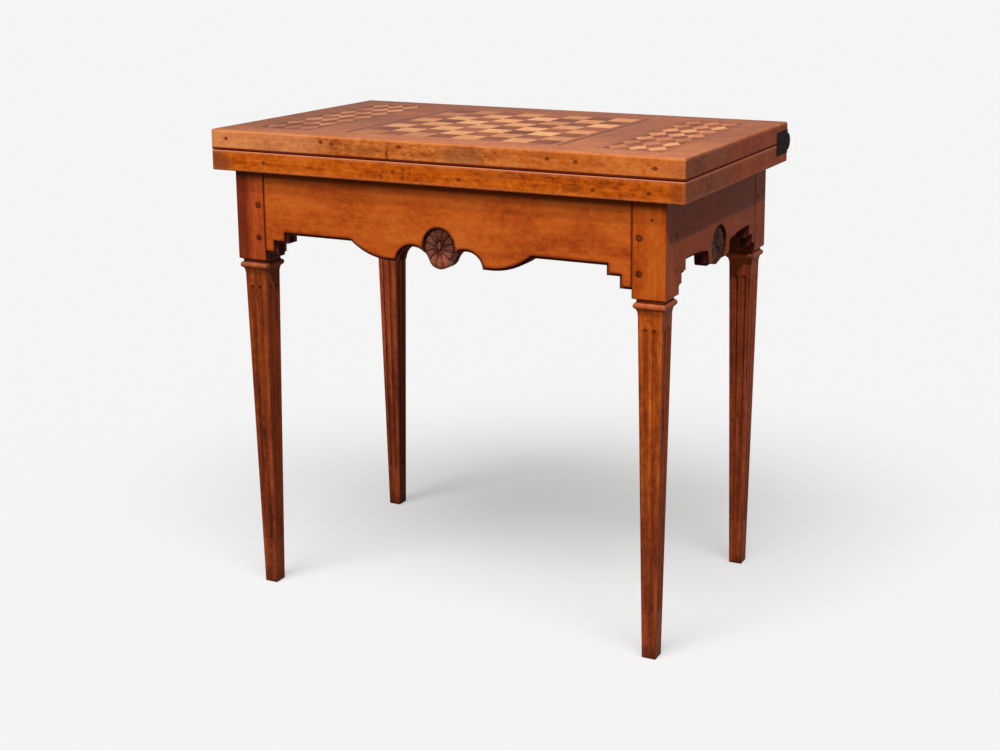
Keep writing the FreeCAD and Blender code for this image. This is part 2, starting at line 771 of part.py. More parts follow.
def inner_rail_tenon():
    """The inner back rail's tenon in the rear right leg, as low and high corners."""
    middle = inner_rail_back - inner_rail_thickness / 2
    low_z = rail_bottom + (back_rail_height - rail_tenon_height) / 2
    return ((front_half, middle - tenon_thickness / 2, low_z),
            (front_half + rail_tenon_length, middle + tenon_thickness / 2, low_z + rail_tenon_height))


def side_tail_outside():
    """How far out the left apron's thin tail reaches behind the swing leg's flange."""
    return frame_end - gate_flange - swing_gap


def dovetails():
    """The tails that lock the inner back rail into the left apron."""
    outside = side_tail_outside()
    pitch = back_rail_height / dovetail_count
    tails = []
    for number in range(dovetail_count):
        level = rail_bottom + pitch * (number + 0.5)
        root = dovetail_root / 2
        wide = root + dovetail_flare
        corners = [(-side_apron_inside, level - root), (-side_apron_inside, level + root),
                   (-outside, level + wide), (-outside, level - wide)]
        outline = path(corners + corners[:1])
        tails.append(moved(plate(outline, inner_rail_thickness), 0, inner_rail_front))
    return tails


def inner_back_rail():
    """The rail behind which the fly rail folds: dovetailed at the left, tenoned at the right."""
    body = box((-side_apron_inside, inner_rail_front, rail_bottom),
               (front_half, inner_rail_back, lower_bottom))
    return one_solid(body.fuse(dovetails() + [box(*inner_rail_tenon())]))


def left_apron_back_end(board):
    """Gives the left apron, in place, the thin tail that the back rail is dovetailed into."""
    shoulder = frame_back - leg_block - swing_gap
    beyond = box((-frame_end, shoulder, 0), (0, frame_back, lower_bottom))
    tail = box((-side_tail_outside(), shoulder, rail_bottom),
               (-side_apron_inside, inner_rail_back, lower_bottom))
    return one_solid(board.cut(beyond).fuse(tail).cut(dovetails()))


def gate_leg():
    """The swing leg: its block is notched round the corner of the carcass."""
    shape = placed_leg(gate_top, -1, 1)
    notch = box((-frame_end + gate_flange, frame_back - leg_block, rail_bottom - swing_gap),
                (-frame_end + leg_block, inner_rail_back + swing_gap, gate_top))
    return one_solid(shape.cut([notch, mortise(*fly_rail_tenon())]))


# ---------------------------------------------------------------- blocks and screws under the top
def glue_block_places():
    """Middles of the glue blocks, and the inward direction of each."""
    front_face = frame_front + apron_set_back + front_apron_thickness
    spread = front_half - glue_block_leg_gap - glue_block_length / 2
    side_spread = side_half - glue_block_leg_gap - glue_block_length / 2
    places = [(x, front_face, 0, 1) for x in (-spread, 0, spread)]
    places += [(x, inner_rail_front, 0, -1) for x in (-spread, 0, spread)]
    places += [(side * side_apron_inside, frame_middle + y, -side, 0)
               for side in (-1, 1) for y in (-side_spread, side_spread)]
    return places


def glue_blocks():
    """Blocks rubbed into the angle of aprons and lower leaf, each with a screw up into the leaf."""
    blocks = []
    screws = []
    half = glue_block_length / 2
    for x, y, way_x, way_y in glue_block_places():
        along = (0 if way_x else half, 0 if way_y else half)
        corner_a = (x - along[0], y - along[1])
        corner_b = (x + along[0] + way_x * glue_block_size, y + along[1] + way_y * glue_block_size)
        low = (min(corner_a[0], corner_b[0]), min(corner_a[1], corner_b[1]), lower_bottom - glue_block_size)
        high = (max(corner_a[0], corner_b[0]), max(corner_a[1], corner_b[1]), lower_bottom)
        middle = ((low[0] + high[0]) / 2, (low[1] + high[1]) / 2, low[2])
        screw, bore = drive(block_screw_head_radius, block_screw_radius, block_screw_length, middle, Z)
        blocks.append(one_solid(box(low, high).cut(bore)))
        screws.append((screw, bore))
    return blocks, screws


def rail_screws():
    """Screws that hold the fixed outer rail to the inner rail: a pair near each end, one halfway."""
    face = gate_pin_y + barrel_radius
    near = gate_pin_x + barrel_radius + swing_gap + rail_screw_end_margin
    far = front_half - rail_screw_end_margin
    level = rail_bottom + back_rail_height / 2
    rise = rail_screw_spacing / 2
    places = [((near + far) / 2, level)]
    places += [(x, z) for x in (near, far) for z in (level - rise, level + rise)]
    return [drive(block_screw_head_radius, block_screw_radius, rail_screw_length, (x, face, z), -Y)
            for x, z in places]


def rail_peg_levels():
    """Levels of the two pegs through a back rail's tenon."""
    middle = rail_bottom + back_rail_height / 2
    return middle - rail_peg_spacing / 2, middle + rail_peg_spacing / 2


# ---------------------------------------------------------------- assembly: blocks
def build_blocks():
    """The glue blocks and their screws; returns the solids that bore the screws' holes."""
    nodes["glue_blocks"], pairs = glue_blocks()
    nodes["block_screws"] = [screw for screw, bore in pairs]
    return [bore for screw, bore in pairs]


# ---------------------------------------------------------------- assembly: top
def build_top(block_bores):
    """Both leaves, the inlay, the hinges and their screws."""
    upper_plate, lower_plate, pin, room = right_hinge()
    rooms = [room, mirrored(room)]
    upper_pairs = hinge_screws(upper_bottom + hinge_upper_height / 2)
    lower_pairs = hinge_screws(lower_top - hinge_lower_height / 2)
    upper_pairs += [(mirrored(screw), mirrored(bore)) for screw, bore in upper_pairs]
    lower_pairs += [(mirrored(screw), mirrored(bore)) for screw, bore in lower_pairs]
    upper_bores = [bore for screw, bore in upper_pairs]
    lower_bores = [bore for screw, bore in lower_pairs]

    nodes["light_squares"] = squares(0)
    nodes["dark_squares"] = squares(1)
    nodes["board_side_bands"] = side_bands()
    nodes["light_lozenges"] = light_lozenges()
    nodes["dark_lozenges"] = dark_lozenges()
    nodes["panel_stringing"] = stringing()
    board_recess = box((-board_half, board_front, recess_floor),
                       (board_half, board_front + 2 * board_half, upper_top))
    recesses = [board_recess, panel_field(), mirrored(panel_field())]
    recesses += nodes["board_side_bands"] + nodes["panel_stringing"]

    upper_plugs = edge_plugs(upper_left_plugs, upper_right_plugs, upper_bottom)
    upper = leaf(upper_bottom, upper_top, upper_leaf_arris_radius)
    upper = upper.cut(recesses + rooms + upper_plugs + upper_bores)
    upper = upper.cut([upper_plate, mirrored(upper_plate)])
    nodes["upper_front_board"], nodes["upper_back_board"] = split_boards(upper)
    nodes["upper_edge_plugs"] = upper_plugs

    lower_plugs = edge_plugs(lower_left_plugs, lower_right_plugs, lower_bottom)
    lower = leaf(lower_top, lower_bottom, lower_leaf_arris_radius)
    lower = lower.cut(rooms + lower_plugs + lower_bores + block_bores)
    lower = lower.cut([lower_plate, mirrored(lower_plate)])
    nodes["lower_front_board"], nodes["lower_back_board"] = split_boards(lower)
    nodes["lower_edge_plugs"] = lower_plugs

    upper_plate = one_solid(upper_plate.cut(upper_bores))
    lower_plate = one_solid(lower_plate.cut(lower_bores))
    nodes["right_upper_hinge_plate"] = upper_plate
    nodes["left_upper_hinge_plate"] = mirrored(upper_plate)
    nodes["right_lower_hinge_plate"] = lower_plate
    nodes["left_lower_hinge_plate"] = mirrored(lower_plate)
    nodes["right_hinge_pin"] = pin
    nodes["left_hinge_pin"] = mirrored(pin)
    nodes["upper_hinge_screws"] = [screw for screw, bore in upper_pairs]
    nodes["lower_hinge_screws"] = [screw for screw, bore in lower_pairs]


# ---------------------------------------------------------------- assembly: frame
def build_frame():
    """Aprons, rosettes, fixed legs, back rails, pegs and screws."""
    front_board = stepped_board(front_outline(), front_half, front_step_tread, front_levels()[0],
                                front_apron_thickness)
    front = on_front(apron(front_board, front_flower, front_half, front_apron_thickness))
    side_board = stepped_board(side_outline(), side_half, side_step_tread, side_levels()[0],
                               side_apron_thickness)
    side_board = side_board.fuse(oval(side_flower, side_apron_thickness))
    side = apron(side_board, side_flower, side_half, side_apron_thickness)
    right = on_side(side, 1)
    left = left_apron_back_end(on_side(side, -1))
    nodes["front_rosette"] = on_front(front_rosette())
    nodes["right_rosette"] = on_side(side_rosette(), 1)
    nodes["left_rosette"] = on_side(side_rosette(), -1)

    peg_levels = (lower_bottom - peg_upper_drop, lower_bottom - peg_lower_drop)
    peg_x = front_half + peg_inset
    front_peg_y = frame_front + leg_block - peg_inset
    back_peg_y = frame_back - leg_block + peg_inset
    peg_pairs = []
    for place in (-1, 1):
        peg_pairs += pegs(place * peg_x, frame_front, Y, peg_depth, peg_levels)
        peg_pairs += pegs(place * frame_end, front_peg_y, X * -place, peg_depth, peg_levels)
    peg_pairs += pegs(frame_end, back_peg_y, -X, peg_depth, peg_levels)
    rail_peg_depth = frame_back - inner_rail_tenon()[0][1] + joint_gap
    peg_pairs += pegs(peg_x, frame_back, -Y, rail_peg_depth, rail_peg_levels())
    frame_bores = [bore for peg, bore in peg_pairs]
    nodes["frame_pegs"] = [peg for peg, bore in peg_pairs]

    left_cuts = [front_mortise(-1), side_mortise(-1, -1)]
    front_left = placed_leg(lower_bottom, -1, -1).cut(left_cuts + frame_bores)
    right_cuts = [front_mortise(1), side_mortise(1, -1)]
    front_right = placed_leg(lower_bottom, 1, -1).cut(right_cuts + frame_bores)
    rear_cuts = [side_mortise(1, 1), mortise(*inner_rail_tenon())]
    rear_right = placed_leg(lower_bottom, 1, 1).cut(rear_cuts + frame_bores)
    nodes["front_left_leg"] = one_solid(front_left)
    nodes["front_right_leg"] = one_solid(front_right)
    nodes["rear_right_leg"] = one_solid(rear_right)
    nodes["front_apron"] = one_solid(front.cut(frame_bores))
    nodes["right_apron"] = one_solid(right.cut(frame_bores))
    nodes["left_apron"] = one_solid(left.cut(frame_bores))

    rail_pairs = rail_screws()
    rail_bores = [bore for screw, bore in rail_pairs]
    nodes["inner_back_rail"] = one_solid(inner_back_rail().cut(frame_bores + rail_bores))
    nodes["outer_back_rail"] = one_solid(outer_back_rail().cut(rail_bores))
    nodes["outer_rail_screws"] = [screw for screw, bore in rail_pairs]
    nodes["gate_pin"] = gate_pin()


# ---------------------------------------------------------------- assembly: gate
def build_gate():
    """The swing leg and its fly rail, pegged together."""
    pairs = pegs(-front_half - peg_inset, frame_back, -Y, peg_depth, rail_peg_levels())
    bores = [bore for peg, bore in pairs]
    nodes["rear_left_leg"] = one_solid(gate_leg().cut(bores))
    nodes["fly_rail"] = one_solid(fly_rail().cut(bores))
    nodes["gate_pegs"] = [peg for peg, bore in pairs]


def write_parts():
    """One STEP file for each node."""
    os.makedirs("parts", exist_ok=True)
    for name, content in nodes.items():
        shape = Part.makeCompound(content) if isinstance(content, list) else content
        shape.exportStep("parts/" + name + ".step")


build_top(build_blocks())
build_frame()
build_gate()
write_parts()
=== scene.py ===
import math

import bmesh
import bpy
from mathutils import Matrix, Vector, noise
from mathutils.bvhtree import BVHTree


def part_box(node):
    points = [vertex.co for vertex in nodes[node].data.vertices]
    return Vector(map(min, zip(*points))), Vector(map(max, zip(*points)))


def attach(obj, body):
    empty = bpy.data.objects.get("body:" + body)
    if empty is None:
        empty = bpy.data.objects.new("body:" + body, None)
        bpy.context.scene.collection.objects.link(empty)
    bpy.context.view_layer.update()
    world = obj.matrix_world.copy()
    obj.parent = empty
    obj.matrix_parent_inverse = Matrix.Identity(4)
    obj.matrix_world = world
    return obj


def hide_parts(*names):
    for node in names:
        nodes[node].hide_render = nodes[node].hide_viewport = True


# Looks of the chess table with a fold-over inlaid top. Metres, in the part's frame:
# +X along the table, +Y to the hinged back edge, +Z up.

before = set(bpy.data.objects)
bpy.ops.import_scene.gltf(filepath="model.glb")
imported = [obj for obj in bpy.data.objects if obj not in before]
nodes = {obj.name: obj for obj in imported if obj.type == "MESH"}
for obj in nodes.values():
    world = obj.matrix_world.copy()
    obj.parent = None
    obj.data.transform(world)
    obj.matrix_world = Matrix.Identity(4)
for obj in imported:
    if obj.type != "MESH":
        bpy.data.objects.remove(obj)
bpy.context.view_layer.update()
bpy.context.view_layer.update()


# ------------------------ places read from the frame
def joined_box(*names):
    """Lowest and highest corner of several CAD nodes together."""
    boxes = [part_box(name) for name in names]
    low = Vector([min(box[0][i] for box in boxes) for i in range(3)])
    high = Vector([max(box[1][i] for box in boxes) for i in range(3)])
    return low, high


upper_low, upper_high = joined_box("upper_front_board", "upper_back_board")
lower_low, lower_high = joined_box("lower_front_board", "lower_back_board")
board_low, board_high = joined_box("light_squares", "dark_squares")
apron_low, apron_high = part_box("front_apron")
side_apron_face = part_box("right_apron")[1].x
leg_low, leg_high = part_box("front_right_leg")
squares_per_side = 8
square_size = (board_high.x - board_low.x) / squares_per_side
leg_block_height = 0.143
collar_drop = 0.0085       # leg block to the middle of the collar below it
block_bottom = leg_high.z - leg_block_height
collar_middle = block_bottom - collar_drop
front_joint = leg_low.x    # middle of the table to the joints of the front apron
front_zone = -0.19         # solids wholly in front of this y show at the front


def world_mesh(name):
    """A CAD node's vertices at rest and its faces."""
    node = nodes[name]
    points = [node.matrix_world @ vertex.co for vertex in node.data.vertices]
    return points, [tuple(face.vertices) for face in node.data.polygons]


def islands(name):
    """The separate solids of a CAD node as boxes (lowest corner, highest corner)."""
    points, faces = world_mesh(name)
    keys = [tuple(round(c, 6) for c in point) for point in points]
    owner = {key: key for key in keys}

    def root(key):
        while owner[key] != key:
            owner[key] = owner[owner[key]]
            key = owner[key]
        return key

    for face in faces:
        for other in face[1:]:
            owner[root(keys[other])] = root(keys[face[0]])
    groups = {}
    for key in owner:
        groups.setdefault(root(key), []).append(key)
    boxes = []
    for group in sorted(groups.values()):
        low = Vector([min(key[i] for key in group) for i in range(3)])
        high = Vector([max(key[i] for key in group) for i in range(3)])
        boxes.append((low, high))
    return boxes


def ends_at_front(name):
    """(x, z) of the middles of a node's solids that show at the front."""
    return [((low.x + high.x) / 2, (low.z + high.z) / 2) for low, high in islands(name)
            if high.y < front_zone and high.y - low.y > high.x - low.x]


# ------------------------ colours
def srgb(red, green, blue):
    """A colour as the screen shows it, 0 to 255, turned into linear light."""
    def linear(value):
        share = value / 255
        return share / 12.92 if share <= 0.04045 else ((share + 0.055) / 1.055) ** 2.4
    return (linear(red), linear(green), linear(blue), 1.0)


# Woods, each as its dark, middle and light tone.
# The top's front tones are paler than its back ones: wear and painted light.
front_top_tones = (srgb(146, 78, 44), srgb(178, 104, 64), srgb(200, 126, 82))
back_top_tones = (srgb(104, 54, 32), srgb(140, 77, 46), srgb(164, 98, 64))
inside_tones = (srgb(120, 62, 36), srgb(168, 92, 52), srgb(190, 116, 70))
upper_edge_tones = (srgb(150, 68, 24), srgb(200, 107, 44), srgb(224, 138, 70))
lower_edge_tones = (srgb(140, 52, 10), srgb(190, 86, 13), srgb(214, 110, 28))
front_end_tones = (srgb(104, 50, 34), srgb(151, 83, 57), srgb(178, 106, 78))
back_end_tones = (srgb(118, 52, 32), srgb(166, 82, 53), srgb(190, 104, 72))
apron_tones = (srgb(140, 54, 16), srgb(188, 84, 24), srgb(208, 107, 40))
# Apron wood darkened for faces along the table: painted shade.
shaded_side_tones = (srgb(108, 44, 22), srgb(147, 65, 32), srgb(170, 84, 46))
# Darker tones on the aprons' sawn edges: painted shade.
sawn_edge_shade_tones = (srgb(60, 24, 18), srgb(96, 46, 36), srgb(126, 70, 56))
right_block_tones = (srgb(134, 50, 12), srgb(180, 78, 18), srgb(204, 104, 34))
left_block_tones = (srgb(130, 48, 17), srgb(176, 75, 30), srgb(200, 99, 46))
left_shaft_tones = (srgb(78, 28, 12), srgb(134, 58, 22), srgb(176, 86, 36))
right_shaft_tones = (srgb(103, 39, 13), srgb(171, 77, 23), srgb(208, 111, 43))
# Lighter than the other shafts: painted light on the rear legs.
lit_rear_shaft_tones = (srgb(110, 46, 29), srgb(172, 80, 46), srgb(212, 112, 68))
foot_tones = (srgb(66, 24, 14), srgb(122, 52, 26), srgb(160, 76, 38))
inner_tones = (srgb(128, 76, 42), srgb(164, 104, 60), srgb(188, 130, 80))
light_tones = (srgb(160, 96, 56), srgb(194, 129, 82), srgb(220, 160, 108))
dark_tones = (srgb(98, 48, 26), srgb(124, 62, 36), srgb(150, 82, 50))
line_tones = (srgb(58, 22, 12), srgb(84, 36, 20), srgb(108, 52, 32))
pale_tones = (srgb(150, 84, 48), srgb(184, 112, 68), srgb(216, 150, 100))
brown_tones = (srgb(96, 44, 22), srgb(124, 60, 30), srgb(146, 78, 44))
peg_tones = (srgb(66, 24, 10), srgb(108, 44, 18), srgb(146, 66, 28))
plug_tones = (srgb(90, 36, 14), srgb(132, 62, 26), srgb(160, 86, 40))

# Carved wood, from its hollows to its rubbed high parts.
carving_tones = (srgb(104, 46, 34), srgb(96, 45, 33), srgb(122, 62, 44), srgb(176, 102, 74))

# Metals, each as its dark, middle and rusty tone.
iron_tones = (srgb(26, 18, 19), srgb(42, 31, 32), srgb(70, 48, 42))
steel_tones = (srgb(92, 84, 74), srgb(130, 120, 106), srgb(110, 70, 48))

# Dirt, painted shade and light, and wear.
worn_wood = srgb(220, 142, 92)
painted_highlight_wood = srgb(186, 104, 74)
seam_dirt_and_shade = srgb(66, 16, 9)
apron_dirt_and_shade = srgb(66, 24, 13)
corner_dirt_and_shade = srgb(30, 10, 8)
joint_dirt_and_arris_shade = srgb(84, 26, 10)
flute_shade = srgb(66, 22, 12)
inside_dirt_and_shade = srgb(90, 52, 30)
carving_shade = srgb(70, 36, 24)
shaded_wood = srgb(96, 46, 20)
painted_deep_shade = srgb(48, 20, 14)
peg_stain = srgb(96, 38, 16)
plug_stain = srgb(140, 62, 24)
brown_stain = srgb(130, 74, 34)
grey_stain = srgb(140, 84, 50)
pink_stain = srgb(168, 96, 66)
end_stain = srgb(112, 54, 34)
knot_brown = srgb(92, 38, 14)
pale_wear = srgb(236, 168, 116)
warm_wear = srgb(196, 86, 16)
left_shade = (0.73, 0.74, 0.78, 1.0)  # these two multiply a colour to paint shade
corner_shade = (0.72, 0.60, 0.62, 1.0)

# Specular levels.
leaf_gloss = 0.03
wood_gloss = 0.05
inner_gloss = 0.08
carving_gloss = 0.15
peg_gloss = 0.02
iron_gloss = 0.04
steel_gloss = 0.5


# ------------------------ material building
class Paint:
    """The nodes of a material or of the world, made one short call at a time."""

    def __init__(self, owner):
        self.owner = owner
        owner.use_nodes = True
        self.tree = owner.node_tree
        self.tree.nodes.clear()
        self.place = self.add("ShaderNodeTexCoord").outputs["Object"]

    def add(self, kind, inputs=None, **settings):
        """A node with its settings, and its inputs linked or set."""
        node = self.tree.nodes.new(kind)
        for key, value in settings.items():
            setattr(node, key, value)
        for key, value in (inputs or {}).items():
            self.connect(value, node.inputs[key])
        return node

    def connect(self, value, socket):
        """Links another node's output to a socket, or sets the socket to a plain value."""
        if isinstance(value, bpy.types.NodeSocket):
            self.tree.links.new(value, socket)
        else:
            socket.default_value = value

    def compute(self, operation, first, second=0.0, third=0.0):
        """One Math node."""
        node = self.add("ShaderNodeMath", {0: first, 1: second, 2: third}, operation=operation)
        return node.outputs[0]

    def times(self, first, second):
        """first x second."""
        return self.compute("MULTIPLY", first, second)

    def plus(self, first, second):
        """first + second."""
        return self.compute("ADD", first, second)

    def minus(self, first, second):
        """first - second."""
        return self.compute("SUBTRACT", first, second)

    def times_plus(self, value, factor, extra):
        """value x factor + extra."""
        return self.compute("MULTIPLY_ADD", value, factor, extra)

    def size(self, value):
        """A value without its sign."""
        return self.compute("ABSOLUTE", value)

    def least(self, first, second):
        """The lower of two values."""
        return self.compute("MINIMUM", first, second)

    def most(self, first, second):
        """The higher of two values."""
        return self.compute("MAXIMUM", first, second)

    def vector(self, operation, inputs, output="Vector"):
        """One Vector Math node."""
        numbered = dict(enumerate(inputs))
        return self.add("ShaderNodeVectorMath", numbered, operation=operation).outputs[output]

    def scaled(self, vector, factors, offset=(0.0, 0.0, 0.0)):
        """A vector times factors, plus an offset."""
        return self.vector("MULTIPLY_ADD", (vector, factors, offset))

    def moved(self, vector, offset):
        """A vector plus an offset."""
        return self.scaled(vector, (1, 1, 1), tuple(offset))

    def split(self, vector):
        """The three parts of a vector."""
        return self.add("ShaderNodeSeparateXYZ", {0: vector}).outputs

    def noise(self, vector, scale=1.0, detail=2.0, roughness=0.5, distortion=0.0):
        """Soft noise, 0 to 1."""
        node = self.add("ShaderNodeTexNoise", {"Vector": vector, "Scale": scale, "Detail": detail,
                                               "Roughness": roughness, "Distortion": distortion})
        return node.outputs["Fac"]

    def line_noise(self, distance, scale, detail, roughness):
        """Noise that depends on one distance alone, as growth rings do."""
        node = self.add("ShaderNodeTexNoise", {"W": distance, "Scale": scale, "Detail": detail,
                                               "Roughness": roughness}, noise_dimensions="1D")
        return node.outputs["Fac"]

    def step(self, value, low, high, from_low=0.0, from_high=1.0):
        """Goes smoothly from from_low to from_high as value passes from low to high."""
        node = self.add("ShaderNodeMapRange", {"Value": value, "From Min": low, "From Max": high,
                                               "To Min": from_low, "To Max": from_high},
                        interpolation_type="SMOOTHSTEP")
        return node.outputs["Result"]

    def ramp(self, value, stops):
        """A colour ramp from (place, colour) stops."""
        node = self.add("ShaderNodeValToRGB", {"Fac": value})
        points = node.color_ramp.elements
        while len(points) < len(stops):
            points.new(1.0)
        for point, (place, colour) in zip(points, stops):
            point.position = place
            point.color = colour
        return node.outputs["Color"]

    def mix(self, share, first, second, blend="MIX"):
        """Two colours mixed."""
        node = self.add("ShaderNodeMix", data_type="RGBA", blend_type=blend)
        for key, value in ((0, share), (6, first), (7, second)):
            self.connect(value, node.inputs[key])
        return node.outputs[2]

    def cover(self, colour, tone, mask, share, blend="MIX"):
        """A colour with a tone over it where mask is 1, as strongly as share says."""
        return self.mix(self.times(mask, share), colour, tone, blend)

    def openness(self, reach, samples=6, inside=False):
        """How open the surface is within reach, 0 to 1; inside looks into the solid instead."""
        node = self.add("ShaderNodeAmbientOcclusion", {"Distance": reach}, samples=samples, inside=inside)
        return node.outputs["AO"]

    def bump(self, height, distance):
        """A bump normal."""
        return self.add("ShaderNodeBump", {"Height": height, "Distance": distance}).outputs["Normal"]

    def finish(self, colour, roughness, normal, specular, metallic=0.0):
        """The surface shader; returns the material."""
        shader = self.add("ShaderNodeBsdfPrincipled", {"Base Color": colour, "Roughness": roughness,
                                                       "Specular IOR Level": specular,
                                                       "Metallic": metallic})
        if normal is not None:
            self.connect(normal, shader.inputs["Normal"])
        self.add("ShaderNodeOutputMaterial", {"Surface": shader.outputs[0]})
        return self.owner


def new_paint(name):
    """A new material, ready for its nodes."""
    return Paint(bpy.data.materials.new(name))


def normal_parts(paint):
    """The way the surface faces, as (x, y, z)."""
    return paint.split(paint.add("ShaderNodeTexCoord").outputs["Normal"])


def facing(paint):
    """How far the surface faces along each axis, 0 to 1, as (x, y, z)."""
    return [paint.size(part) for part in normal_parts(paint)]


def edge_distance(paint, low, high):
    """Distance along the surface of a box from the nearest of its edges."""
    shifted = paint.moved(paint.place, -(low + high) / 2)
    inward = paint.vector("SUBTRACT", (tuple((high - low) / 2), paint.vector("ABSOLUTE", (shifted,))))
    x, y, z = paint.split(inward)
    return paint.most(paint.least(x, y), paint.least(paint.most(x, y), z))


def along(axis, lengthwise, across):
    """Factors that stretch a texture along one axis."""
    return tuple(lengthwise if i == axis else across for i in range(3))


def spot(paint, centre, radii, ragged=0.3, scale=120.0):
    """1 inside a ragged oval about a point, 0 outside."""
    squeezed = paint.scaled(paint.moved(paint.place, -Vector(centre)), tuple(1 / radius for radius in radii))
    length = paint.vector("LENGTH", (squeezed,), "Value")
    wobble = paint.times_plus(paint.noise(paint.place, scale, 3.0), ragged * 2, -ragged)
    return paint.step(paint.plus(length, wobble), 1.0, 0.55)


def dirt_and_shade_mask(paint, reach=0.012):
    """1 deep in corners and 0 on open faces; marks dirt and painted shade."""
    return paint.step(paint.openness(reach), 0.85, 0.25)


def arrises(paint, reach):
    """1 at outward edges and 0 on open faces."""
    return paint.step(paint.openness(reach, inside=True), 0.93, 0.6)


# ------------------------ wood
# How much rings, streaks, blotches and mottle weigh in a wood's colour.
plain_weights = (0.14, 0.36, 0.60, 0.6)
edge_weights = (0.2, 0.55, 0.75, 0.85)
apron_weights = (0.10, 0.30, 0.75, 0.5)
block_weights = (0.16, 0.5, 0.6, 0.4)
shaft_weights = (0.3, 0.8, 0.2, 0.5)
peg_weights = (0.3, 0.3, 0.3, 0.8)

plain_ring_scale = 190.0   # how fine the growth rings are, in noise cells per metre
leaf_ring_scale = 210.0
leg_ring_scale = 230.0
inner_ring_scale = 160.0
fine_relief = 0.00005      # depth of the fibres
leg_relief = 0.00008
rough_relief = 0.0002


def wood_figure(paint, axis, seed, pith=(0.0, 0.0, 0.0), ring_scale=plain_ring_scale):
    """Growth rings, streaks, fibres, blotches and mottle of a board whose grain runs along an axis."""
    place = paint.moved(paint.place, (seed * 1.37, seed * 0.71, seed * 2.13))
    sway = paint.noise(paint.scaled(place, along(axis, 3.0, 9.0)), 1.0, 2.0)
    centred = paint.scaled(paint.place, along(axis, 0.04, 1.0), tuple(-Vector(pith)))
    radius = paint.vector("LENGTH", (centred,), "Value")
    swayed = paint.times_plus(sway, 0.03, radius)
    return {
        "rings": paint.line_noise(swayed, ring_scale, 3.0, 0.65),
        "streaks": paint.noise(paint.scaled(place, along(axis, 9.0, 110.0)), 1.0, 4.0, 0.65),
        "fibres": paint.noise(paint.scaled(place, along(axis, 40.0, 900.0)), 1.0, 3.0, 0.6),
        "blotches": paint.noise(paint.scaled(place, along(axis, 7.0, 14.0)), 1.0, 4.0, 0.6, 0.6),
        "mottle": paint.noise(paint.scaled(place, along(axis, 90.0, 130.0)), 1.0, 5.0, 0.65, 0.4),
    }


def wood_colour(paint, figure, tones, weights=plain_weights):
    """A wood's own colour from its figure."""
    dark, middle, light = tones
    total = 0.5 - sum(weights) / 2
    for key, weight in zip(("rings", "streaks", "blotches", "mottle"), weights):
        total = paint.times_plus(figure[key], weight, total)
    colour = paint.ramp(total, [(0.28, dark), (0.5, middle), (0.72, light)])
    return paint.cover(colour, dark, paint.step(figure["fibres"], 0.62, 0.78), 0.35)


def wood_normal(paint, figure, depth=fine_relief):
    """Fine relief of the fibres."""
    return paint.bump(paint.times_plus(figure["streaks"], 0.6, figure["fibres"]), depth)


# ------------------------ leaves
stain_depth = 0.003        # how far a stain on a leaf's edge goes in
wear_reach = 0.012         # the most that worn wood reaches in from an arris, about
inner_arris = 0.0034       # width of the seam's tone on a leaf's inner face

# Faces. Blotches carry the tones forward and the painted shade leftward, by up to their sway.
pale_front = 0.02          # front edge to where a face starts to darken
dark_back = 0.30           # and to where it is darkest
tone_sway = 0.09
shade_start = 0.18         # x where the shade towards the left end starts
shade_full = -0.34         # and where it is full
shade_sway = 0.12
corner_inset = 0.09        # front edge to the middle of the shaded corner
corner_radii = (0.16, 0.10, 0.16)


def shade_leftward(paint, colour, cloud=0.5):
    """Paints shade over a colour towards the table's left end, most in its front corner."""
    x = paint.split(paint.place)[0]
    left = paint.step(paint.times_plus(cloud, shade_sway, x), shade_start, shade_full)
    colour = paint.mix(left, colour, left_shade, "MULTIPLY")
    middle = (upper_low.x, upper_low.y + corner_inset, upper_high.z)
    corner = spot(paint, middle, corner_radii, 0.35, 14.0)
    return paint.cover(colour, corner_shade, corner, 0.6, "MULTIPLY")


def seam_line(paint, colour, near_edge, level, reach, tone, share):
    """A line of another tone along the seam between the leaves, on the outside only."""
    height = paint.split(paint.place)[2]
    inside = paint.step(paint.size(paint.minus(height, level)), reach, reach * 0.6)
    upright = paint.step(facing(paint)[2], 0.95, 0.7)
    outside = paint.most(upright, paint.step(near_edge, inner_arris, inner_arris - 0.0012))
    return paint.cover(colour, tone, paint.times(inside, outside), share)


def leaf_edge(paint, figure, low, tones, marks):
    """A leaf's front and back edges: flecked, with stains as (middle, radii, tone, share)."""
    colour = wood_colour(paint, figure, tones, edge_weights)
    flecks = paint.noise(paint.scaled(paint.place, (150.0, 150.0, 380.0)), 1.0, 4.0, 0.7)
    colour = paint.mix(paint.step(flecks, 0.54, 0.72, 0.0, 0.55), colour, tones[0])
    colour = paint.mix(paint.step(flecks, 0.46, 0.30, 0.0, 0.5), colour, tones[2])
    for (x, z), (half_width, half_height), tone, share in marks:
        inside = spot(paint, (x, low.y, z), (half_width, stain_depth, half_height))
        colour = paint.cover(colour, tone, inside, share)
    return colour


def leaf_face(paint, figure, low, front_tones, back_tones):
    """A leaf's broad face: paler at the front, from wear and painted light, and darker at the left, from
    painted shade.
    """
    y = paint.split(paint.place)[1]
    swaying = paint.times_plus(figure["blotches"], tone_sway, y)
    backward = paint.step(swaying, low.y + pale_front, low.y + dark_back)
    front = wood_colour(paint, figure, front_tones)
    colour = paint.mix(backward, front, wood_colour(paint, figure, back_tones))
    return shade_leftward(paint, colour, figure["blotches"])


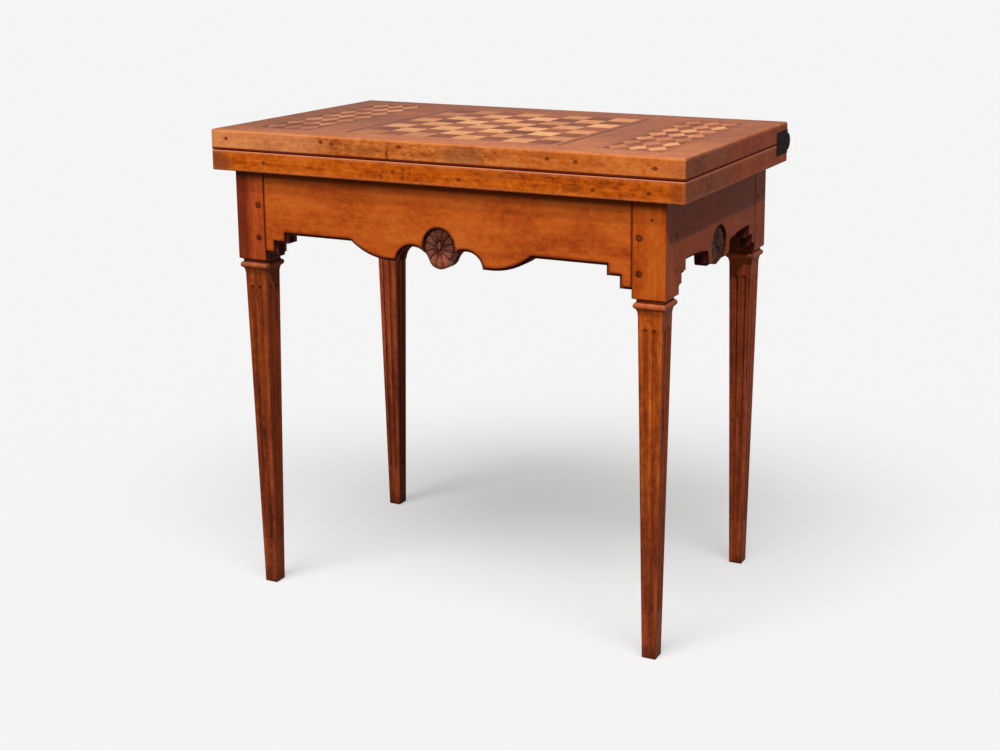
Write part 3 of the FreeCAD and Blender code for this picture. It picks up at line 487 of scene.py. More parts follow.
def leaf_material(name, low, high, seed, faces, edges, ends, seam, marks=()):
    """A leaf: orange edges, brown end grain and a shaded face. faces is (tones at the front, tones at
    the back), edges and ends are tones, and seam is (level, reach, tone, share)."""
    paint = new_paint(name)
    figure = wood_figure(paint, 0, seed, (0.02, low.y - 0.09, low.z - 0.11), leaf_ring_scale)
    tilt = facing(paint)
    edge = leaf_edge(paint, figure, low, edges, marks)
    face = leaf_face(paint, figure, low, *faces)
    colour = paint.mix(paint.step(tilt[2], 0.3, 0.95), edge, face)
    colour = paint.mix(paint.step(tilt[0], 0.45, 0.8), colour, wood_colour(paint, figure, ends))
    near_edge = edge_distance(paint, low, high)
    ragged = paint.noise(paint.place, 110.0, 5.0, 0.65)
    worn = paint.step(paint.times_plus(ragged, -wear_reach, near_edge), 0.0006, -0.0042)
    colour = paint.cover(colour, worn_wood, worn, 0.18)
    colour = seam_line(paint, colour, near_edge, *seam)
    # Dirt and painted shade in the seam and corners.
    colour = paint.cover(colour, seam_dirt_and_shade, dirt_and_shade_mask(paint, 0.005), 0.85)
    roughness = paint.times_plus(figure["blotches"], 0.2, 0.5)
    return paint.finish(colour, roughness, wood_normal(paint, figure), leaf_gloss)


# ------------------------ aprons
rim_depth = 0.0012         # apron face to where the painted shade on the sawn edge starts
deep_depth = 0.009         # and to where that painted shade deepens
back_depth = 0.0205        # and to the plain wood of the back
band_sway = 0.008          # how far the bands of shade wander up and down, from end to end


def apron_material(name, axis, face, seed, tones, shades):
    """An apron whose face is |part across axis| = face: stained, with painted shade on its sawn edges and
    bands of painted shade under the leaf. shades are (drop, softness, share). The front apron (axis 0)
    also has dark lines at its joints and painted shade along its arrises."""
    paint = new_paint(name)
    figure = wood_figure(paint, axis, seed, (0.1, -0.3, apron_low.z))
    colour = wood_colour(paint, figure, tones, apron_weights)
    parts = paint.split(paint.place)
    inward = paint.minus(face, paint.size(parts[1 - axis]))
    swaying = paint.times_plus(figure["blotches"], band_sway, parts[2])
    for drop, softness, share in shades:
        level = apron_high.z - drop + band_sway / 2
        upper = paint.step(swaying, level - softness, level + softness)
        colour = paint.cover(colour, shaded_wood, upper, share)
    if axis == 0:
        joint = paint.step(paint.size(parts[0]), front_joint - 0.0022, front_joint - 0.0008)
        colour = paint.cover(colour, joint_dirt_and_arris_shade, joint, 0.85)
        # Painted shade along the front apron's arrises.
        colour = paint.cover(colour, joint_dirt_and_arris_shade, arrises(paint, 0.005), 0.75)
    # Painted shade on the sawn edges, deeper further back.
    rim = paint.step(inward, rim_depth, rim_depth + 0.0016)
    colour = paint.mix(rim, colour, wood_colour(paint, figure, sawn_edge_shade_tones))
    deep = paint.step(inward, deep_depth, deep_depth + 0.005, 0.0, 0.55)
    colour = paint.mix(deep, colour, painted_deep_shade)
    back = paint.step(inward, back_depth, back_depth + 0.001)
    colour = paint.mix(back, colour, wood_colour(paint, figure, inner_tones))
    # Dirt and painted shade in corners and under the leaf.
    colour = paint.cover(colour, apron_dirt_and_shade, dirt_and_shade_mask(paint, 0.009), 0.85)
    roughness = paint.times_plus(figure["blotches"], 0.2, 0.46)
    roughness = paint.times_plus(rim, 0.5, roughness)
    return paint.finish(colour, roughness, wood_normal(paint, figure), wood_gloss)


# ------------------------ legs
nail_hole = (0.343, 0.668)  # x and z, at the front
nail_radii = (0.0034, 0.004, 0.0034)
peg_stain_radii = (0.0072, 0.004, 0.0072)
foot_tone_top = 0.20       # height where the foot's tone starts to give way
shaft_tone_start = 0.50    # and where it is gone
foot_sway = 0.2            # how far the blotches lower both, at most
foot_shade = 0.03          # height of the dark bottom of the foot
leaf_shade = 0.022         # how far the painted shade under the leaf comes down


def block_colour(paint, figure, x, tones, shade):
    """A leg's block with its nail hole, peg stains and joint line. shade is (start, tone), which
    darkens the block to the left of start."""
    colour = wood_colour(paint, figure, tones, block_weights)
    if shade:
        start, tone = shade
        swaying = paint.times_plus(figure["streaks"], 0.012, x)
        colour = paint.cover(colour, tone, paint.step(swaying, start + 0.012, start - 0.004), 0.75)
    nail = spot(paint, (nail_hole[0], leg_low.y, nail_hole[1]), nail_radii, 0.1)
    colour = paint.cover(colour, knot_brown, nail, 0.85)
    for peg_x, peg_z in ends_at_front("frame_pegs"):
        stain = spot(paint, (peg_x, leg_low.y, peg_z), peg_stain_radii, 0.35, 260.0)
        colour = paint.cover(colour, peg_stain, stain, 0.6)
    joint = paint.size(paint.minus(paint.size(x), front_joint))
    return paint.mix(paint.step(joint, 0.0020, 0.0008, 0.0, 0.85), colour, joint_dirt_and_arris_shade)


def shaft_colour(paint, figure, height, tones):
    """A leg's shaft, which turns browner towards the foot."""
    shaft = wood_colour(paint, figure, tones, shaft_weights)
    foot = wood_colour(paint, figure, foot_tones, shaft_weights)
    swaying = paint.times_plus(figure["blotches"], foot_sway, height)
    return paint.mix(paint.step(swaying, foot_tone_top, shaft_tone_start), foot, shaft)


def inward_faces(paint, parts):
    """1 on faces that look towards the middle of the table along x or y."""
    normal = normal_parts(paint)
    along_x, along_y = [paint.times(normal[i], paint.compute("SIGN", parts[i])) for i in (0, 1)]
    return paint.step(paint.least(along_x, along_y), -0.4, -0.8)


def leg_material(name, seed, block, shaft, shade=None):
    """A leg: a warm block over a dark streaked shaft, with painted shade on its side faces, on the block's
    inward faces and under the leaf, and a painted highlight on the collar. block and shaft are tones."""
    paint = new_paint(name)
    figure = wood_figure(paint, 2, seed, (0.3, 0.25, 0.0), leg_ring_scale)
    parts = paint.split(paint.place)
    height = parts[2]
    in_block = paint.step(height, block_bottom - 0.003, block_bottom)
    colour = paint.mix(in_block, shaft_colour(paint, figure, height, shaft),
                       block_colour(paint, figure, parts[0], block, shade))
    # Side faces in the shaded side tones: painted shade.
    side_face = paint.step(facing(paint)[0], 0.5, 0.8)
    colour = paint.cover(colour, wood_colour(paint, figure, shaded_side_tones, block_weights), side_face, 0.85)
    # Painted shade on the block's inward faces.
    colour = paint.cover(colour, painted_deep_shade, paint.times(inward_faces(paint, parts), in_block), 0.75)
    # Darker towards the bottom of the foot.
    near_foot = paint.step(height, foot_shade, 0.0)
    colour = paint.cover(colour, painted_deep_shade, near_foot, 0.5)
    # Painted shade under the leaf.
    under_leaf = paint.step(height, leg_high.z - leaf_shade, leg_high.z)
    colour = paint.cover(colour, painted_deep_shade, under_leaf, 0.5)
    # A painted highlight on the collar.
    from_collar = paint.size(paint.minus(height, collar_middle))
    colour = paint.mix(paint.step(from_collar, 0.0062, 0.003, 0.0, 0.4), colour, painted_highlight_wood)
    # Painted shade in the flutes.
    hollow = paint.step(paint.openness(0.0035, samples=8), 0.97, 0.72)
    flute = paint.times(hollow, paint.minus(1.0, in_block))
    colour = paint.cover(colour, flute_shade, flute, 0.8)
    # Dirt and painted shade in corners.
    colour = paint.cover(colour, corner_dirt_and_shade, dirt_and_shade_mask(paint, 0.007), 0.95)
    roughness = paint.times_plus(figure["streaks"], 0.25, 0.42)
    return paint.finish(colour, roughness, wood_normal(paint, figure, leg_relief), wood_gloss)


# ------------------------ other materials
def plain_wood(name, axis, seed, tones, rough, gloss, dirt_and_shade, dirt_and_shade_share, pith=(0.0, 0.0, 0.0),
               ring_scale=plain_ring_scale, relief=fine_relief):
    """A piece of one wood with dirt and painted shade in its corners."""
    paint = new_paint(name)
    figure = wood_figure(paint, axis, seed, pith, ring_scale)
    colour = paint.cover(wood_colour(paint, figure, tones), dirt_and_shade, dirt_and_shade_mask(paint), dirt_and_shade_share)
    roughness = paint.times_plus(figure["blotches"], 0.2, rough - 0.1)
    return paint.finish(colour, roughness, wood_normal(paint, figure, relief), gloss)


def carved_material():
    """Carved wood: dark in the hollows and rubbed pale on the high parts, with painted shade on its upper
    part and on the side rosettes, and painted light towards the bottom.
    """
    paint = new_paint("carved_wood")
    lift = paint.add("ShaderNodeAttribute", attribute_name="lift").outputs["Fac"]
    rubbed = paint.noise(paint.place, 420.0, 4.0, 0.65)
    value = paint.times_plus(rubbed, 0.34, paint.plus(lift, -0.17))
    colour = paint.ramp(value, list(zip((0.0, 0.35, 0.7, 0.95), carving_tones)))
    parts = paint.split(paint.place)
    height = parts[2]
    # Painted shade on the upper part of the carving.
    upper = paint.step(height, apron_low.z + 0.012, apron_low.z + 0.045, 0.0, 0.65)
    colour = paint.mix(upper, colour, carving_shade)
    # Painted light towards the bottom.
    lower = paint.step(height, apron_low.z + 0.026, apron_low.z, 0.0, 0.35)
    colour = paint.mix(lower, colour, painted_highlight_wood)
    # Painted shade on the side aprons' rosettes.
    on_side_apron = paint.step(paint.minus(paint.size(parts[0]), front_joint), 0.0, 0.01, 0.0, 0.85)
    colour = paint.mix(on_side_apron, colour, painted_deep_shade)
    colour = paint.cover(colour, corner_dirt_and_shade, dirt_and_shade_mask(paint, 0.004), 0.3)
    roughness = paint.times_plus(rubbed, 0.3, 0.4)
    return paint.finish(colour, roughness, paint.bump(rubbed, 0.0003), carving_gloss)


def inlay_material(name, axis, seed, tones, cell):
    """Pieces of veneer, each cell of a grid with its own tone and figure."""
    paint = new_paint(name)
    width, length = cell
    cells = paint.scaled(paint.place, (1 / width, 1 / length, 0.0),
                         (-board_low.x / width, -board_low.y / length, 0.5))
    number = paint.vector("FLOOR", (cells,))
    seeded = paint.moved(number, (seed, seed, seed))
    own = paint.add("ShaderNodeTexWhiteNoise", {"Vector": seeded}).outputs
    shifted = paint.vector("ADD", (paint.place, paint.scaled(own["Color"], (3.0, 3.0, 3.0))))
    streaks = paint.noise(paint.scaled(shifted, along(axis, 9.0, 220.0)), 1.0, 4.0, 0.65)
    clouds = paint.noise(shifted, 60.0, 4.0, 0.65)
    value = paint.times_plus(clouds, 0.5, paint.times_plus(own["Value"], 0.5, -0.25))
    value = paint.times_plus(streaks, 0.5, value)
    colour = paint.ramp(value, list(zip((0.2, 0.5, 0.8), tones)))
    wear = paint.step(paint.noise(paint.place, 9.0, 5.0, 0.6), 0.5, 0.72)
    # Painted shade towards the table's left end.
    colour = shade_leftward(paint, paint.cover(colour, front_top_tones[1], wear, 0.35))
    return paint.finish(colour, 0.6, paint.bump(streaks, 0.00003), leaf_gloss)


def peg_material(name, seed, tones):
    """Pegs' end grain, with a dark rim of dirt and painted shade; on the side aprons they take the sides'
    painted shade and hardly stand out.
    """
    paint = new_paint(name)
    figure = wood_figure(paint, 2, seed)
    colour = wood_colour(paint, figure, tones, peg_weights)
    colour = paint.mix(paint.step(facing(paint)[0], 0.3, 0.9, 0.0, 0.85), colour, shaded_side_tones[1])
    colour = paint.cover(colour, corner_dirt_and_shade, dirt_and_shade_mask(paint, 0.003), 0.7)
    return paint.finish(colour, 0.6, wood_normal(paint, figure), peg_gloss)


def iron_material():
    """Blackened wrought iron, hammered and a little rusty."""
    paint = new_paint("hinge_iron")
    dents = paint.noise(paint.place, 160.0, 3.0, 0.5)
    rust = paint.noise(paint.place, 320.0, 5.0, 0.7)
    colour = paint.ramp(rust, list(zip((0.35, 0.62, 0.8), iron_tones)))
    normal = paint.bump(paint.times_plus(rust, 0.3, dents), 0.0008)
    return paint.finish(colour, paint.times_plus(rust, 0.2, 0.7), normal, iron_gloss)


def screw_material():
    """Aged steel."""
    paint = new_paint("old_steel")
    rust = paint.noise(paint.place, 400.0, 4.0, 0.6)
    colour = paint.ramp(rust, list(zip((0.35, 0.6, 0.75), steel_tones)))
    return paint.finish(colour, paint.times_plus(rust, 0.3, 0.3), None, steel_gloss, metallic=0.8)


# ------------------------ materials on the CAD nodes
# Stains on the leaves' front edges: (x and z of the middle), (half width, half height), tone, share.
upper_marks = (
    ((-0.294, 0.745), (0.0065, 0.0055), knot_brown, 0.35),
    ((-0.057, 0.750), (0.006, 0.0028), knot_brown, 0.8),
    ((-0.077, 0.737), (0.003, 0.0095), knot_brown, 0.75),
    ((0.050, 0.742), (0.044, 0.021), grey_stain, 0.48),
    ((0.270, 0.745), (0.010, 0.005), grey_stain, 0.6),
    ((0.3526, 0.7434), (0.008, 0.0012), knot_brown, 0.9),
    ((-0.120, 0.742), (0.040, 0.008), brown_stain, 0.3),
    ((0.190, 0.752), (0.050, 0.006), brown_stain, 0.3),
    ((0.382, 0.744), (0.024, 0.014), pink_stain, 0.4),
    ((-0.310, 0.744), (0.150, 0.040), pale_wear, 0.28),
    ((0.270, 0.744), (0.170, 0.040), warm_wear, 0.35),
)
lower_marks = (
    ((-0.050, 0.713), (0.0022, 0.014), knot_brown, 0.5),
    ((-0.038, 0.712), (0.0018, 0.013), knot_brown, 0.45),
    ((0.228, 0.708), (0.021, 0.008), knot_brown, 0.5),
    ((0.100, 0.716), (0.035, 0.005), brown_stain, 0.35),
    ((0.388, 0.710), (0.022, 0.020), end_stain, 0.4),
    ((-0.392, 0.708), (0.038, 0.022), end_stain, 0.65),
    ((-0.240, 0.704), (0.030, 0.004), brown_stain, 0.25),
)
plug_stain_radii = (0.0058, 0.0042)


def plug_marks(name):
    """Soft stains round the plugs of a leaf's front edge."""
    return tuple((place, plug_stain_radii, plug_stain, 0.6) for place in ends_at_front(name))


def use(material, *names):
    """Gives CAD nodes a material."""
    for name in names:
        nodes[name].data.materials.clear()
        nodes[name].data.materials.append(material)


# The leaves' face tones (at the front, at the back) and seam lines (level, reach, tone, share); the
# lower leaf's pale seam line is a painted highlight on its top arris.
upper_faces = (front_top_tones, back_top_tones)
lower_faces = (inside_tones, inside_tones)
upper_seam = (upper_low.z, 0.0046, srgb(92, 20, 9), 0.95)
lower_seam_highlight = (lower_high.z, 0.0022, srgb(222, 134, 98), 0.7)
use(leaf_material("upper_front_wood", upper_low, upper_high, 1.0, upper_faces, upper_edge_tones,
                  front_end_tones, upper_seam, upper_marks + plug_marks("upper_edge_plugs")),
    "upper_front_board")
use(leaf_material("upper_back_wood", upper_low, upper_high, 2.0, upper_faces, upper_edge_tones,
                  back_end_tones, upper_seam), "upper_back_board")
use(leaf_material("lower_front_wood", lower_low, lower_high, 4.0, lower_faces, lower_edge_tones,
                  front_end_tones, lower_seam_highlight, lower_marks + plug_marks("lower_edge_plugs")),
    "lower_front_board")
use(leaf_material("lower_back_wood", lower_low, lower_high, 5.0, lower_faces, lower_edge_tones,
                  back_end_tones, lower_seam_highlight), "lower_back_board")

front_shades = ((0.009, 0.004, 0.5), (0.020, 0.003, 0.3))  # (drop, softness, share)
use(apron_material("front_apron_wood", 0, -apron_low.y, 7.0, apron_tones, front_shades), "front_apron")
use(apron_material("side_apron_wood", 1, side_apron_face, 9.0, shaded_side_tones, ()),
    "left_apron", "right_apron")

left_leg_shade = (-leg_low.x - 0.026, srgb(92, 28, 14))
use(leg_material("left_leg_wood", 12.0, left_block_tones, left_shaft_tones, left_leg_shade),
    "front_left_leg")
use(leg_material("right_leg_wood", 13.0, right_block_tones, right_shaft_tones), "front_right_leg")
use(leg_material("rear_leg_wood", 14.0, left_block_tones, lit_rear_shaft_tones),
    "rear_left_leg", "rear_right_leg")

use(plain_wood("inner_wood", 0, 16.0, inner_tones, rough=0.7, gloss=inner_gloss, dirt_and_shade=inside_dirt_and_shade,
               dirt_and_shade_share=0.6, pith=(0.0, 0.1, 0.5), ring_scale=inner_ring_scale, relief=rough_relief),
    "inner_back_rail", "outer_back_rail", "fly_rail", "glue_blocks")

square = (square_size, square_size)
lozenge = (0.0305, 0.052)
use(inlay_material("light_square_wood", 0, 21.0, light_tones, square), "light_squares")
use(inlay_material("dark_square_wood", 0, 22.0, dark_tones, square), "dark_squares")
use(inlay_material("pale_lozenge_wood", 1, 23.0, pale_tones, lozenge), "light_lozenges")
use(inlay_material("brown_lozenge_wood", 1, 24.0, brown_tones, lozenge), "dark_lozenges")
use(plain_wood("line_wood", 1, 25.0, line_tones, rough=0.55, gloss=leaf_gloss, dirt_and_shade=corner_dirt_and_shade,
               dirt_and_shade_share=0.3), "board_side_bands", "panel_stringing")

use(iron_material(), "right_upper_hinge_plate", "left_upper_hinge_plate", "right_lower_hinge_plate",
    "left_lower_hinge_plate", "right_hinge_pin", "left_hinge_pin", "upper_hinge_screws",
    "lower_hinge_screws", "gate_pin")
use(screw_material(), "block_screws", "outer_rail_screws")
carved_wood = carved_material()
peg_wood = peg_material("peg_wood", 26.0, peg_tones)
plug_wood = peg_material("plug_wood", 27.0, plug_tones)
use(carved_wood, "front_rosette", "left_rosette", "right_rosette")
use(peg_wood, "frame_pegs", "gate_pegs")
use(plug_wood, "upper_edge_plugs", "lower_edge_plugs")


# ------------------------ meshes
def new_piece(name, points, faces, material, body, replaced, smooth=True):
    """A finished mesh that rides on a body and stands for a CAD node."""
    mesh = bpy.data.meshes.new(name)
    mesh.from_pydata(points, [], faces)
    mesh.validate()
    mesh.polygons.foreach_set("use_smooth", [smooth] * len(mesh.polygons))
    mesh.materials.append(material)
    piece = bpy.data.objects.new(name, mesh)
    bpy.context.scene.collection.objects.link(piece)
    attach(piece, body)
    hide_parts(replaced)
    return piece


# ------------------------ carved rosettes
petal_count = 12
long_petals = 3            # the lowest ones, which reach the rim
carving_rings = 60
carving_segments = 288
recess_depth = 0.014       # apron face to the back of a rosette
plate_middle = 0.0105      # apron face to the middle of its plate
outline_gap = 0.0001       # between the carving and the CAD node's outline

# Depths below the apron's face, and what is added to them.
highest_carving = 0.0006
carving_floor = 0.0060     # the deepest hollow
carving_fade = 0.0096      # where the lift that sets a carving's tone would be 0
petal_crown = 0.0022       # the highest line across a petal
petal_bend = 0.011         # how strongly a petal falls away from its crown
petal_hollow = 0.0008      # beside a petal's rib
petal_rib = 0.0007
petal_groove = 0.0021      # between two petals
petal_unevenness = 0.0006
tool_marks = 0.0005
boss_top = 0.0011
boss_fall = 0.0035         # from the boss's top to its edge
boss_groove = 0.0022       # round the boss

# Shares of the way to the rim, and for the boss of the half width and half height.
crown_place = 0.58
long_tip = 0.99
short_tip = 0.90
tip_unevenness = 0.05
tip_roundness = 0.12
boss_half_width = 0.12
boss_half_height = 0.22
boss_rise = 0.08           # the boss's middle above the carving's


def smooth_step(low, high, value):
    """0 below low, 1 above high, smooth between."""
    share = min(max((value - low) / (high - low), 0.0), 1.0)
    return share * share * (3 - 2 * share)


def petal_at(turn):
    """The petal at an angle from straight down: its number, how far the angle is from its middle (1 is
    halfway to the next one) and whether it is one of the long ones."""
    phase = turn * petal_count / (2 * math.pi)
    petal = round(phase)
    half_round = petal_count // 2
    from_bottom = abs((petal + half_round) % petal_count - half_round)
    return petal, abs(phase - petal) * 2, from_bottom <= long_petals // 2


def carving_depth(share, turn, across, up, seed):
    """Depth in metres below the apron's face. share is the part of the way to the rim, turn is the angle
    from straight down, and across and up are parts of the half width and half height."""
    petal, off, is_long = petal_at(turn)
    wobble = noise.noise(Vector((petal * 3.1, seed, 0.5)))
    tip = (long_tip if is_long else short_tip + tip_unevenness * wobble) - tip_roundness * off ** 3
    crown = petal_crown + petal_bend * (share - crown_place) ** 2 + petal_unevenness * wobble
    hollow = petal_hollow * math.sin(min(off, 0.5) * 2 * math.pi) ** 2
    groove = petal_groove * smooth_step(0.5, 1.0, off) * smooth_step(0.1, 0.3, share)
    rib = petal_rib * math.exp(-(off / 0.16) ** 2) * smooth_step(0.2, 0.4, share)
    depth = crown + hollow + groove - rib
    beyond = smooth_step(tip - 0.07, tip + 0.02, share) * (0.35 if is_long else 1.0)
    depth += (carving_floor - depth) * beyond
    boss = math.hypot(across / boss_half_width, (up - boss_rise) / boss_half_height)
    depth += boss_groove * math.exp(-((boss - 1.12) / 0.16) ** 2)
    if boss < 1.0:
        depth = boss_top + boss_fall * boss ** 3
    rough = noise.noise(Vector((across * 9, up * 9, seed))) * tool_marks
    return min(max(depth + rough, highest_carving), carving_floor)


def petal_tone(share, turn, depth, seed):
    """How much paler a petal's high parts are than the others': most on the lowest petals, where it is
    painted light.
    """
    petal, _, is_long = petal_at(turn)
    own = 0.26 if is_long else 0.3 * noise.noise(Vector((petal * 2.3, seed, 4.5))) - 0.06
    return own * smooth_step(0.3, 0.45, share) * (1 - depth / carving_floor)


def outline_rays(name, source, across_way, half_width, half_height):
    """(angle from straight down, way, distance) from a point inside a CAD node to its outline."""
    tree = BVHTree.FromPolygons(*world_mesh(name))
    rays = []
    for number in range(carving_segments):
        turn = 2 * math.pi * number / carving_segments
        way = across_way * math.sin(turn) * half_width - Vector((0, 0, math.cos(turn) * half_height))
        way.normalize()
        hit = tree.ray_cast(source, way)
        rays.append((turn, way, hit[3] - outline_gap))
    return rays


def carved_rosette(name, outward, across_way, seed):
    """A carved flower that fills the outline of its CAD node."""
    low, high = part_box(name)
    middle = (low + high) / 2
    back = min(low.dot(outward), high.dot(outward))
    middle += outward * (back - middle.dot(outward))
    half_width = abs((high - low).dot(across_way)) / 2
    half_height = (high.z - low.z) / 2
    rays = outline_rays(name, middle + outward * (recess_depth - plate_middle), across_way, half_width,
                        half_height)
    points = []
    lifts = []
    for ring in range(1, carving_rings + 1):
        share = ring / carving_rings
        for turn, way, distance in rays:
            place = middle + way * distance * share
            across = (place - middle).dot(across_way) / half_width
            up = (place.z - middle.z) / half_height
            depth = carving_depth(share, turn, across, up, seed)
            points.append(place + outward * (recess_depth - depth))
            lifts.append(1 - depth / carving_fade + petal_tone(share, turn, depth, seed))
    centre = len(points)
    points.append(middle + outward * (recess_depth - boss_top))
    lifts.append(0.9)
    rim = len(points)
    points += [middle + way * distance for turn, way, distance in rays]
    lifts += [0.0] * carving_segments
    last_ring = (carving_rings - 1) * carving_segments
    starts = [ring * carving_segments for ring in range(carving_rings - 1)]
    around = [(j, (j + 1) % carving_segments) for j in range(carving_segments)]
    faces = [(start + j, start + k, start + carving_segments + k, start + carving_segments + j)
             for start in starts for j, k in around]
    faces += [(centre, k, j) for j, k in around]
    faces += [(last_ring + j, last_ring + k, rim + k, rim + j) for j, k in around]
    faces.append(tuple(rim + j for j in range(carving_segments)))
    piece = new_piece(name.replace("rosette", "carving"), points, faces, carved_wood, "frame",
                      name)
    layer = piece.data.attributes.new("lift", "FLOAT", "POINT")
    layer.data.foreach_set("value", lifts)


carved_rosette("front_rosette", Vector((0, -1, 0)), Vector((1, 0, 0)), 1.0)
carved_rosette("right_rosette", Vector((1, 0, 0)), Vector((0, 1, 0)), 2.0)
carved_rosette("left_rosette", Vector((-1, 0, 0)), Vector((0, -1, 0)), 3.0)


# ------------------------ pegs and plugs
peg_sides = 8
peg_end_share = 0.78       # a peg's end is this much of its width
peg_chamfer = 0.0006
side_peg_fit = 0.985       # pegs that face along the table fill their holes
side_peg_recess = 0.0001


def whittled_pegs(name, body, material, recess, fit):
    """Eight-sided pegs a little smaller than their holes, their outer ends sunk a little."""
    points = []
    faces = []
    for number, (low, high) in enumerate(islands(name)):
        sizes = high - low
        axis = max(range(3), key=lambda i: sizes[i])
        u, v = [i for i in range(3) if i != axis]
        side = 1 if low[axis] + high[axis] > 0 else -1
        faces_along = axis == 0
        radius = (sizes[u] + sizes[v]) / 4 * (side_peg_fit if faces_along else fit)
        end_share = side_peg_fit if faces_along else peg_end_share
        middle = (low + high) / 2
        outer = (high[axis] if side > 0 else low[axis]) - side * (side_peg_recess if faces_along else recess)
        inner = low[axis] if side > 0 else high[axis]
        start = len(points)
        turn_by = noise.noise(Vector((number * 1.7, 0.3, radius * 900)))
        for level, share in ((inner, 1.0), (outer - side * peg_chamfer, 1.0), (outer, end_share)):
            for corner in range(peg_sides):
                turn = 2 * math.pi * (corner + turn_by) / peg_sides
                place = list(middle)
                place[axis] = level
                place[u] += radius * share * math.cos(turn)
                place[v] += radius * share * math.sin(turn)
                points.append(place)
        for level in range(2):
            for corner in range(peg_sides):
                near = start + level * peg_sides + corner
                far = start + level * peg_sides + (corner + 1) % peg_sides
                faces.append((near, far, far + peg_sides, near + peg_sides))
        faces.append(tuple(start + corner for corner in reversed(range(peg_sides))))
        faces.append(tuple(start + 2 * peg_sides + corner for corner in range(peg_sides)))
    piece = new_piece(name + "_whittled", points, faces, material, body, name, smooth=False)
    clean = bmesh.new()
    clean.from_mesh(piece.data)
    bmesh.ops.recalc_face_normals(clean, faces=clean.faces)
    clean.to_mesh(piece.data)
    clean.free()


whittled_pegs("frame_pegs", "frame", peg_wood, 0.0005, 0.93)
whittled_pegs("gate_pegs", "gate", peg_wood, 0.0005, 0.93)
whittled_pegs("upper_edge_plugs", "upper_leaf", plug_wood, 0.0004, 0.92)
whittled_pegs("lower_edge_plugs", "frame", plug_wood, 0.0004, 0.92)


# ------------------------ floor and background
background = srgb(245, 245, 245)
world_light = (0.09, 0.088, 0.086, 1.0)
floor_reach = 60.0
floor_tone = (0.58, 0.58, 0.58, 1.0)
floor_glow = (0.42, 0.42, 0.42, 1.0)
floor_bounce = (0.2, 0.19, 0.18, 1.0)


def seen_directly(paint):
    """1 for rays from the camera and for mirrored and refracted ones."""
    path = paint.add("ShaderNodeLightPath").outputs
    mirrored = paint.most(path["Is Glossy Ray"], path["Is Transmission Ray"])
    return paint.most(path["Is Camera Ray"], mirrored)


def make_floor():
    """A pale floor that shows soft shadows and throws little light back."""
    half = floor_reach
    mesh = bpy.data.meshes.new("floor")
    corners = [(-half, -half, 0), (half, -half, 0), (half, half, 0), (-half, half, 0)]
    mesh.from_pydata(corners, [], [(0, 1, 2, 3)])
    floor = bpy.data.objects.new("floor", mesh)
    bpy.context.scene.collection.objects.link(floor)
    paint = new_paint("floor_paint")
    lit = paint.add("ShaderNodeBsdfDiffuse", {"Color": floor_tone}).outputs[0]
    even = paint.add("ShaderNodeEmission", {"Color": floor_glow}).outputs[0]
    shown = paint.add("ShaderNodeAddShader", {0: even, 1: lit}).outputs[0]
    bounce = paint.add("ShaderNodeBsdfDiffuse", {"Color": floor_bounce}).outputs[0]
    both = paint.add("ShaderNodeMixShader", {0: seen_directly(paint), 1: bounce, 2: shown}).outputs[0]
    paint.add("ShaderNodeOutputMaterial", {"Surface": both})
    mesh.materials.append(paint.owner)
    return floor


def make_world():
    """Soft light from all round; the background looks pale."""
    world = bpy.data.worlds.new("studio")
    bpy.context.scene.world = world
    paint = Paint(world)
    soft = paint.add("ShaderNodeBackground", {"Color": world_light}).outputs[0]
    pale = paint.add("ShaderNodeBackground", {"Color": background}).outputs[0]
    either = paint.add("ShaderNodeMixShader", {0: seen_directly(paint), 1: soft, 2: pale}).outputs[0]
    paint.add("ShaderNodeOutputWorld", {"Surface": either})


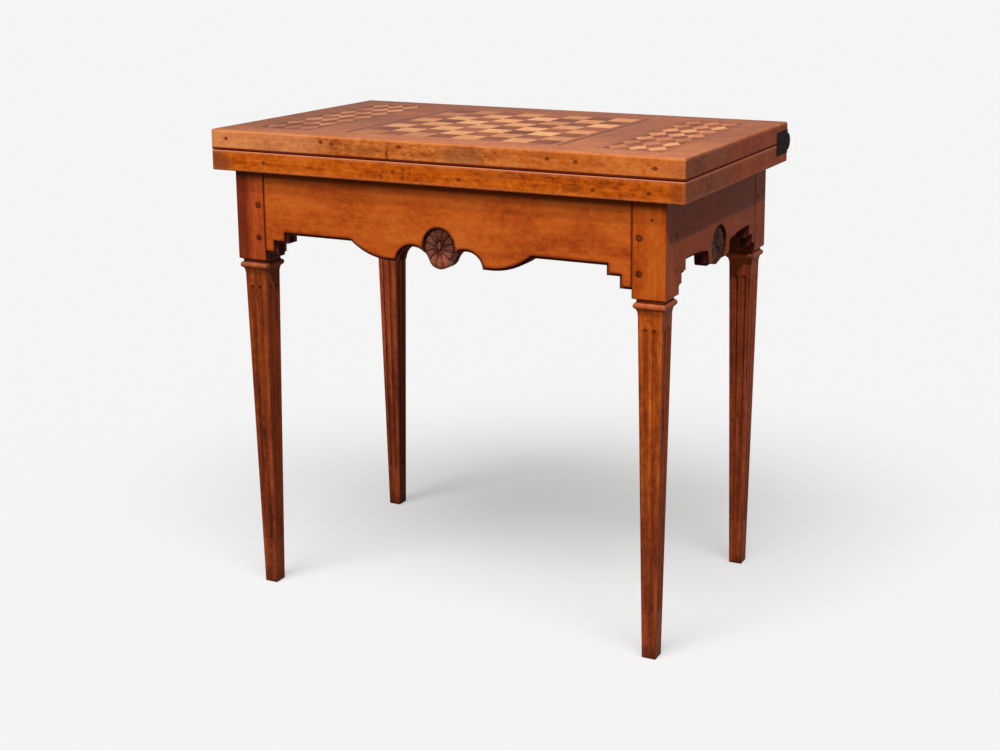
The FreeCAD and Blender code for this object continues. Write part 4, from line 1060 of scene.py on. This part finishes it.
# ------------------------ lamps
# Each lamp: name, way towards it, strength, width in degrees and colour.
side_way = (33.0, -26.0, 65.0)
white = (1.0, 1.0, 1.0)
object_lamps = (
    ("key", (-0.30, -0.64, 0.62), 0.86, 30.0, (1.0, 0.98, 0.95)),
    ("side", side_way, 0.60, 3.0, (1.0, 0.97, 0.94)),
    ("back", (-0.35, 0.75, 0.6), 0.2, 35.0, white),
)
floor_lamps = (
    ("key_on_floor", (-0.10, -0.72, 1.0), 0.44, 34.0, white),
    ("side_on_floor", side_way, 0.26, 30.0, white),
    ("top_on_floor", (0.05, -0.45, 1.0), 0.20, 40.0, white),
)


def sun(name, towards, strength, width, colour):
    """A lamp far away, with soft shadows as wide as it is."""
    light = bpy.data.lights.new(name, "SUN")
    light.energy = strength * math.pi
    light.angle = math.radians(width)
    light.color = colour
    lamp = bpy.data.objects.new(name, light)
    lamp.rotation_euler = Vector(towards).to_track_quat("Z", "Y").to_euler()
    bpy.context.scene.collection.objects.link(lamp)
    return lamp


def light_only(lamp, floor, on_floor):
    """Lets a lamp light the floor alone, or everything but the floor."""
    receivers = bpy.data.collections.new(lamp.name + "_receivers")
    receivers.objects.link(floor)
    lamp.light_linking.receiver_collection = receivers
    receivers.collection_objects[0].light_linking.link_state = "INCLUDE" if on_floor else "EXCLUDE"


floor = make_floor()
make_world()
for lamp in object_lamps:
    light_only(sun(*lamp), floor, False)
for lamp in floor_lamps:
    light_only(sun(*lamp), floor, True)


# ------------------------ camera
picture_width = 1000
picture_height = 750
focal_pixels = 1560.64
axis_pixel = (572.18, 256.18)  # where the camera's axis meets the picture
camera_place = (1.1381, -2.2209, 1.0626)
camera_tilt = 78.256       # degrees from straight down
camera_turn = 24.720       # degrees to the left of +Y


def make_camera():
    """The camera at the viewing height of someone standing in front, to the right."""
    camera = bpy.data.cameras.new("camera")
    camera.sensor_width = 36.0
    camera.lens = focal_pixels * camera.sensor_width / picture_width
    camera.shift_x = (picture_width / 2 - axis_pixel[0]) / picture_width
    camera.shift_y = (axis_pixel[1] - picture_height / 2) / picture_width
    camera.clip_end = 200.0
    stand = bpy.data.objects.new("camera", camera)
    stand.location = camera_place
    stand.rotation_euler = (math.radians(camera_tilt), 0.0, math.radians(camera_turn))
    bpy.context.scene.collection.objects.link(stand)
    bpy.context.scene.camera = stand


make_camera()
bpy.context.scene.view_settings.view_transform = "Standard"
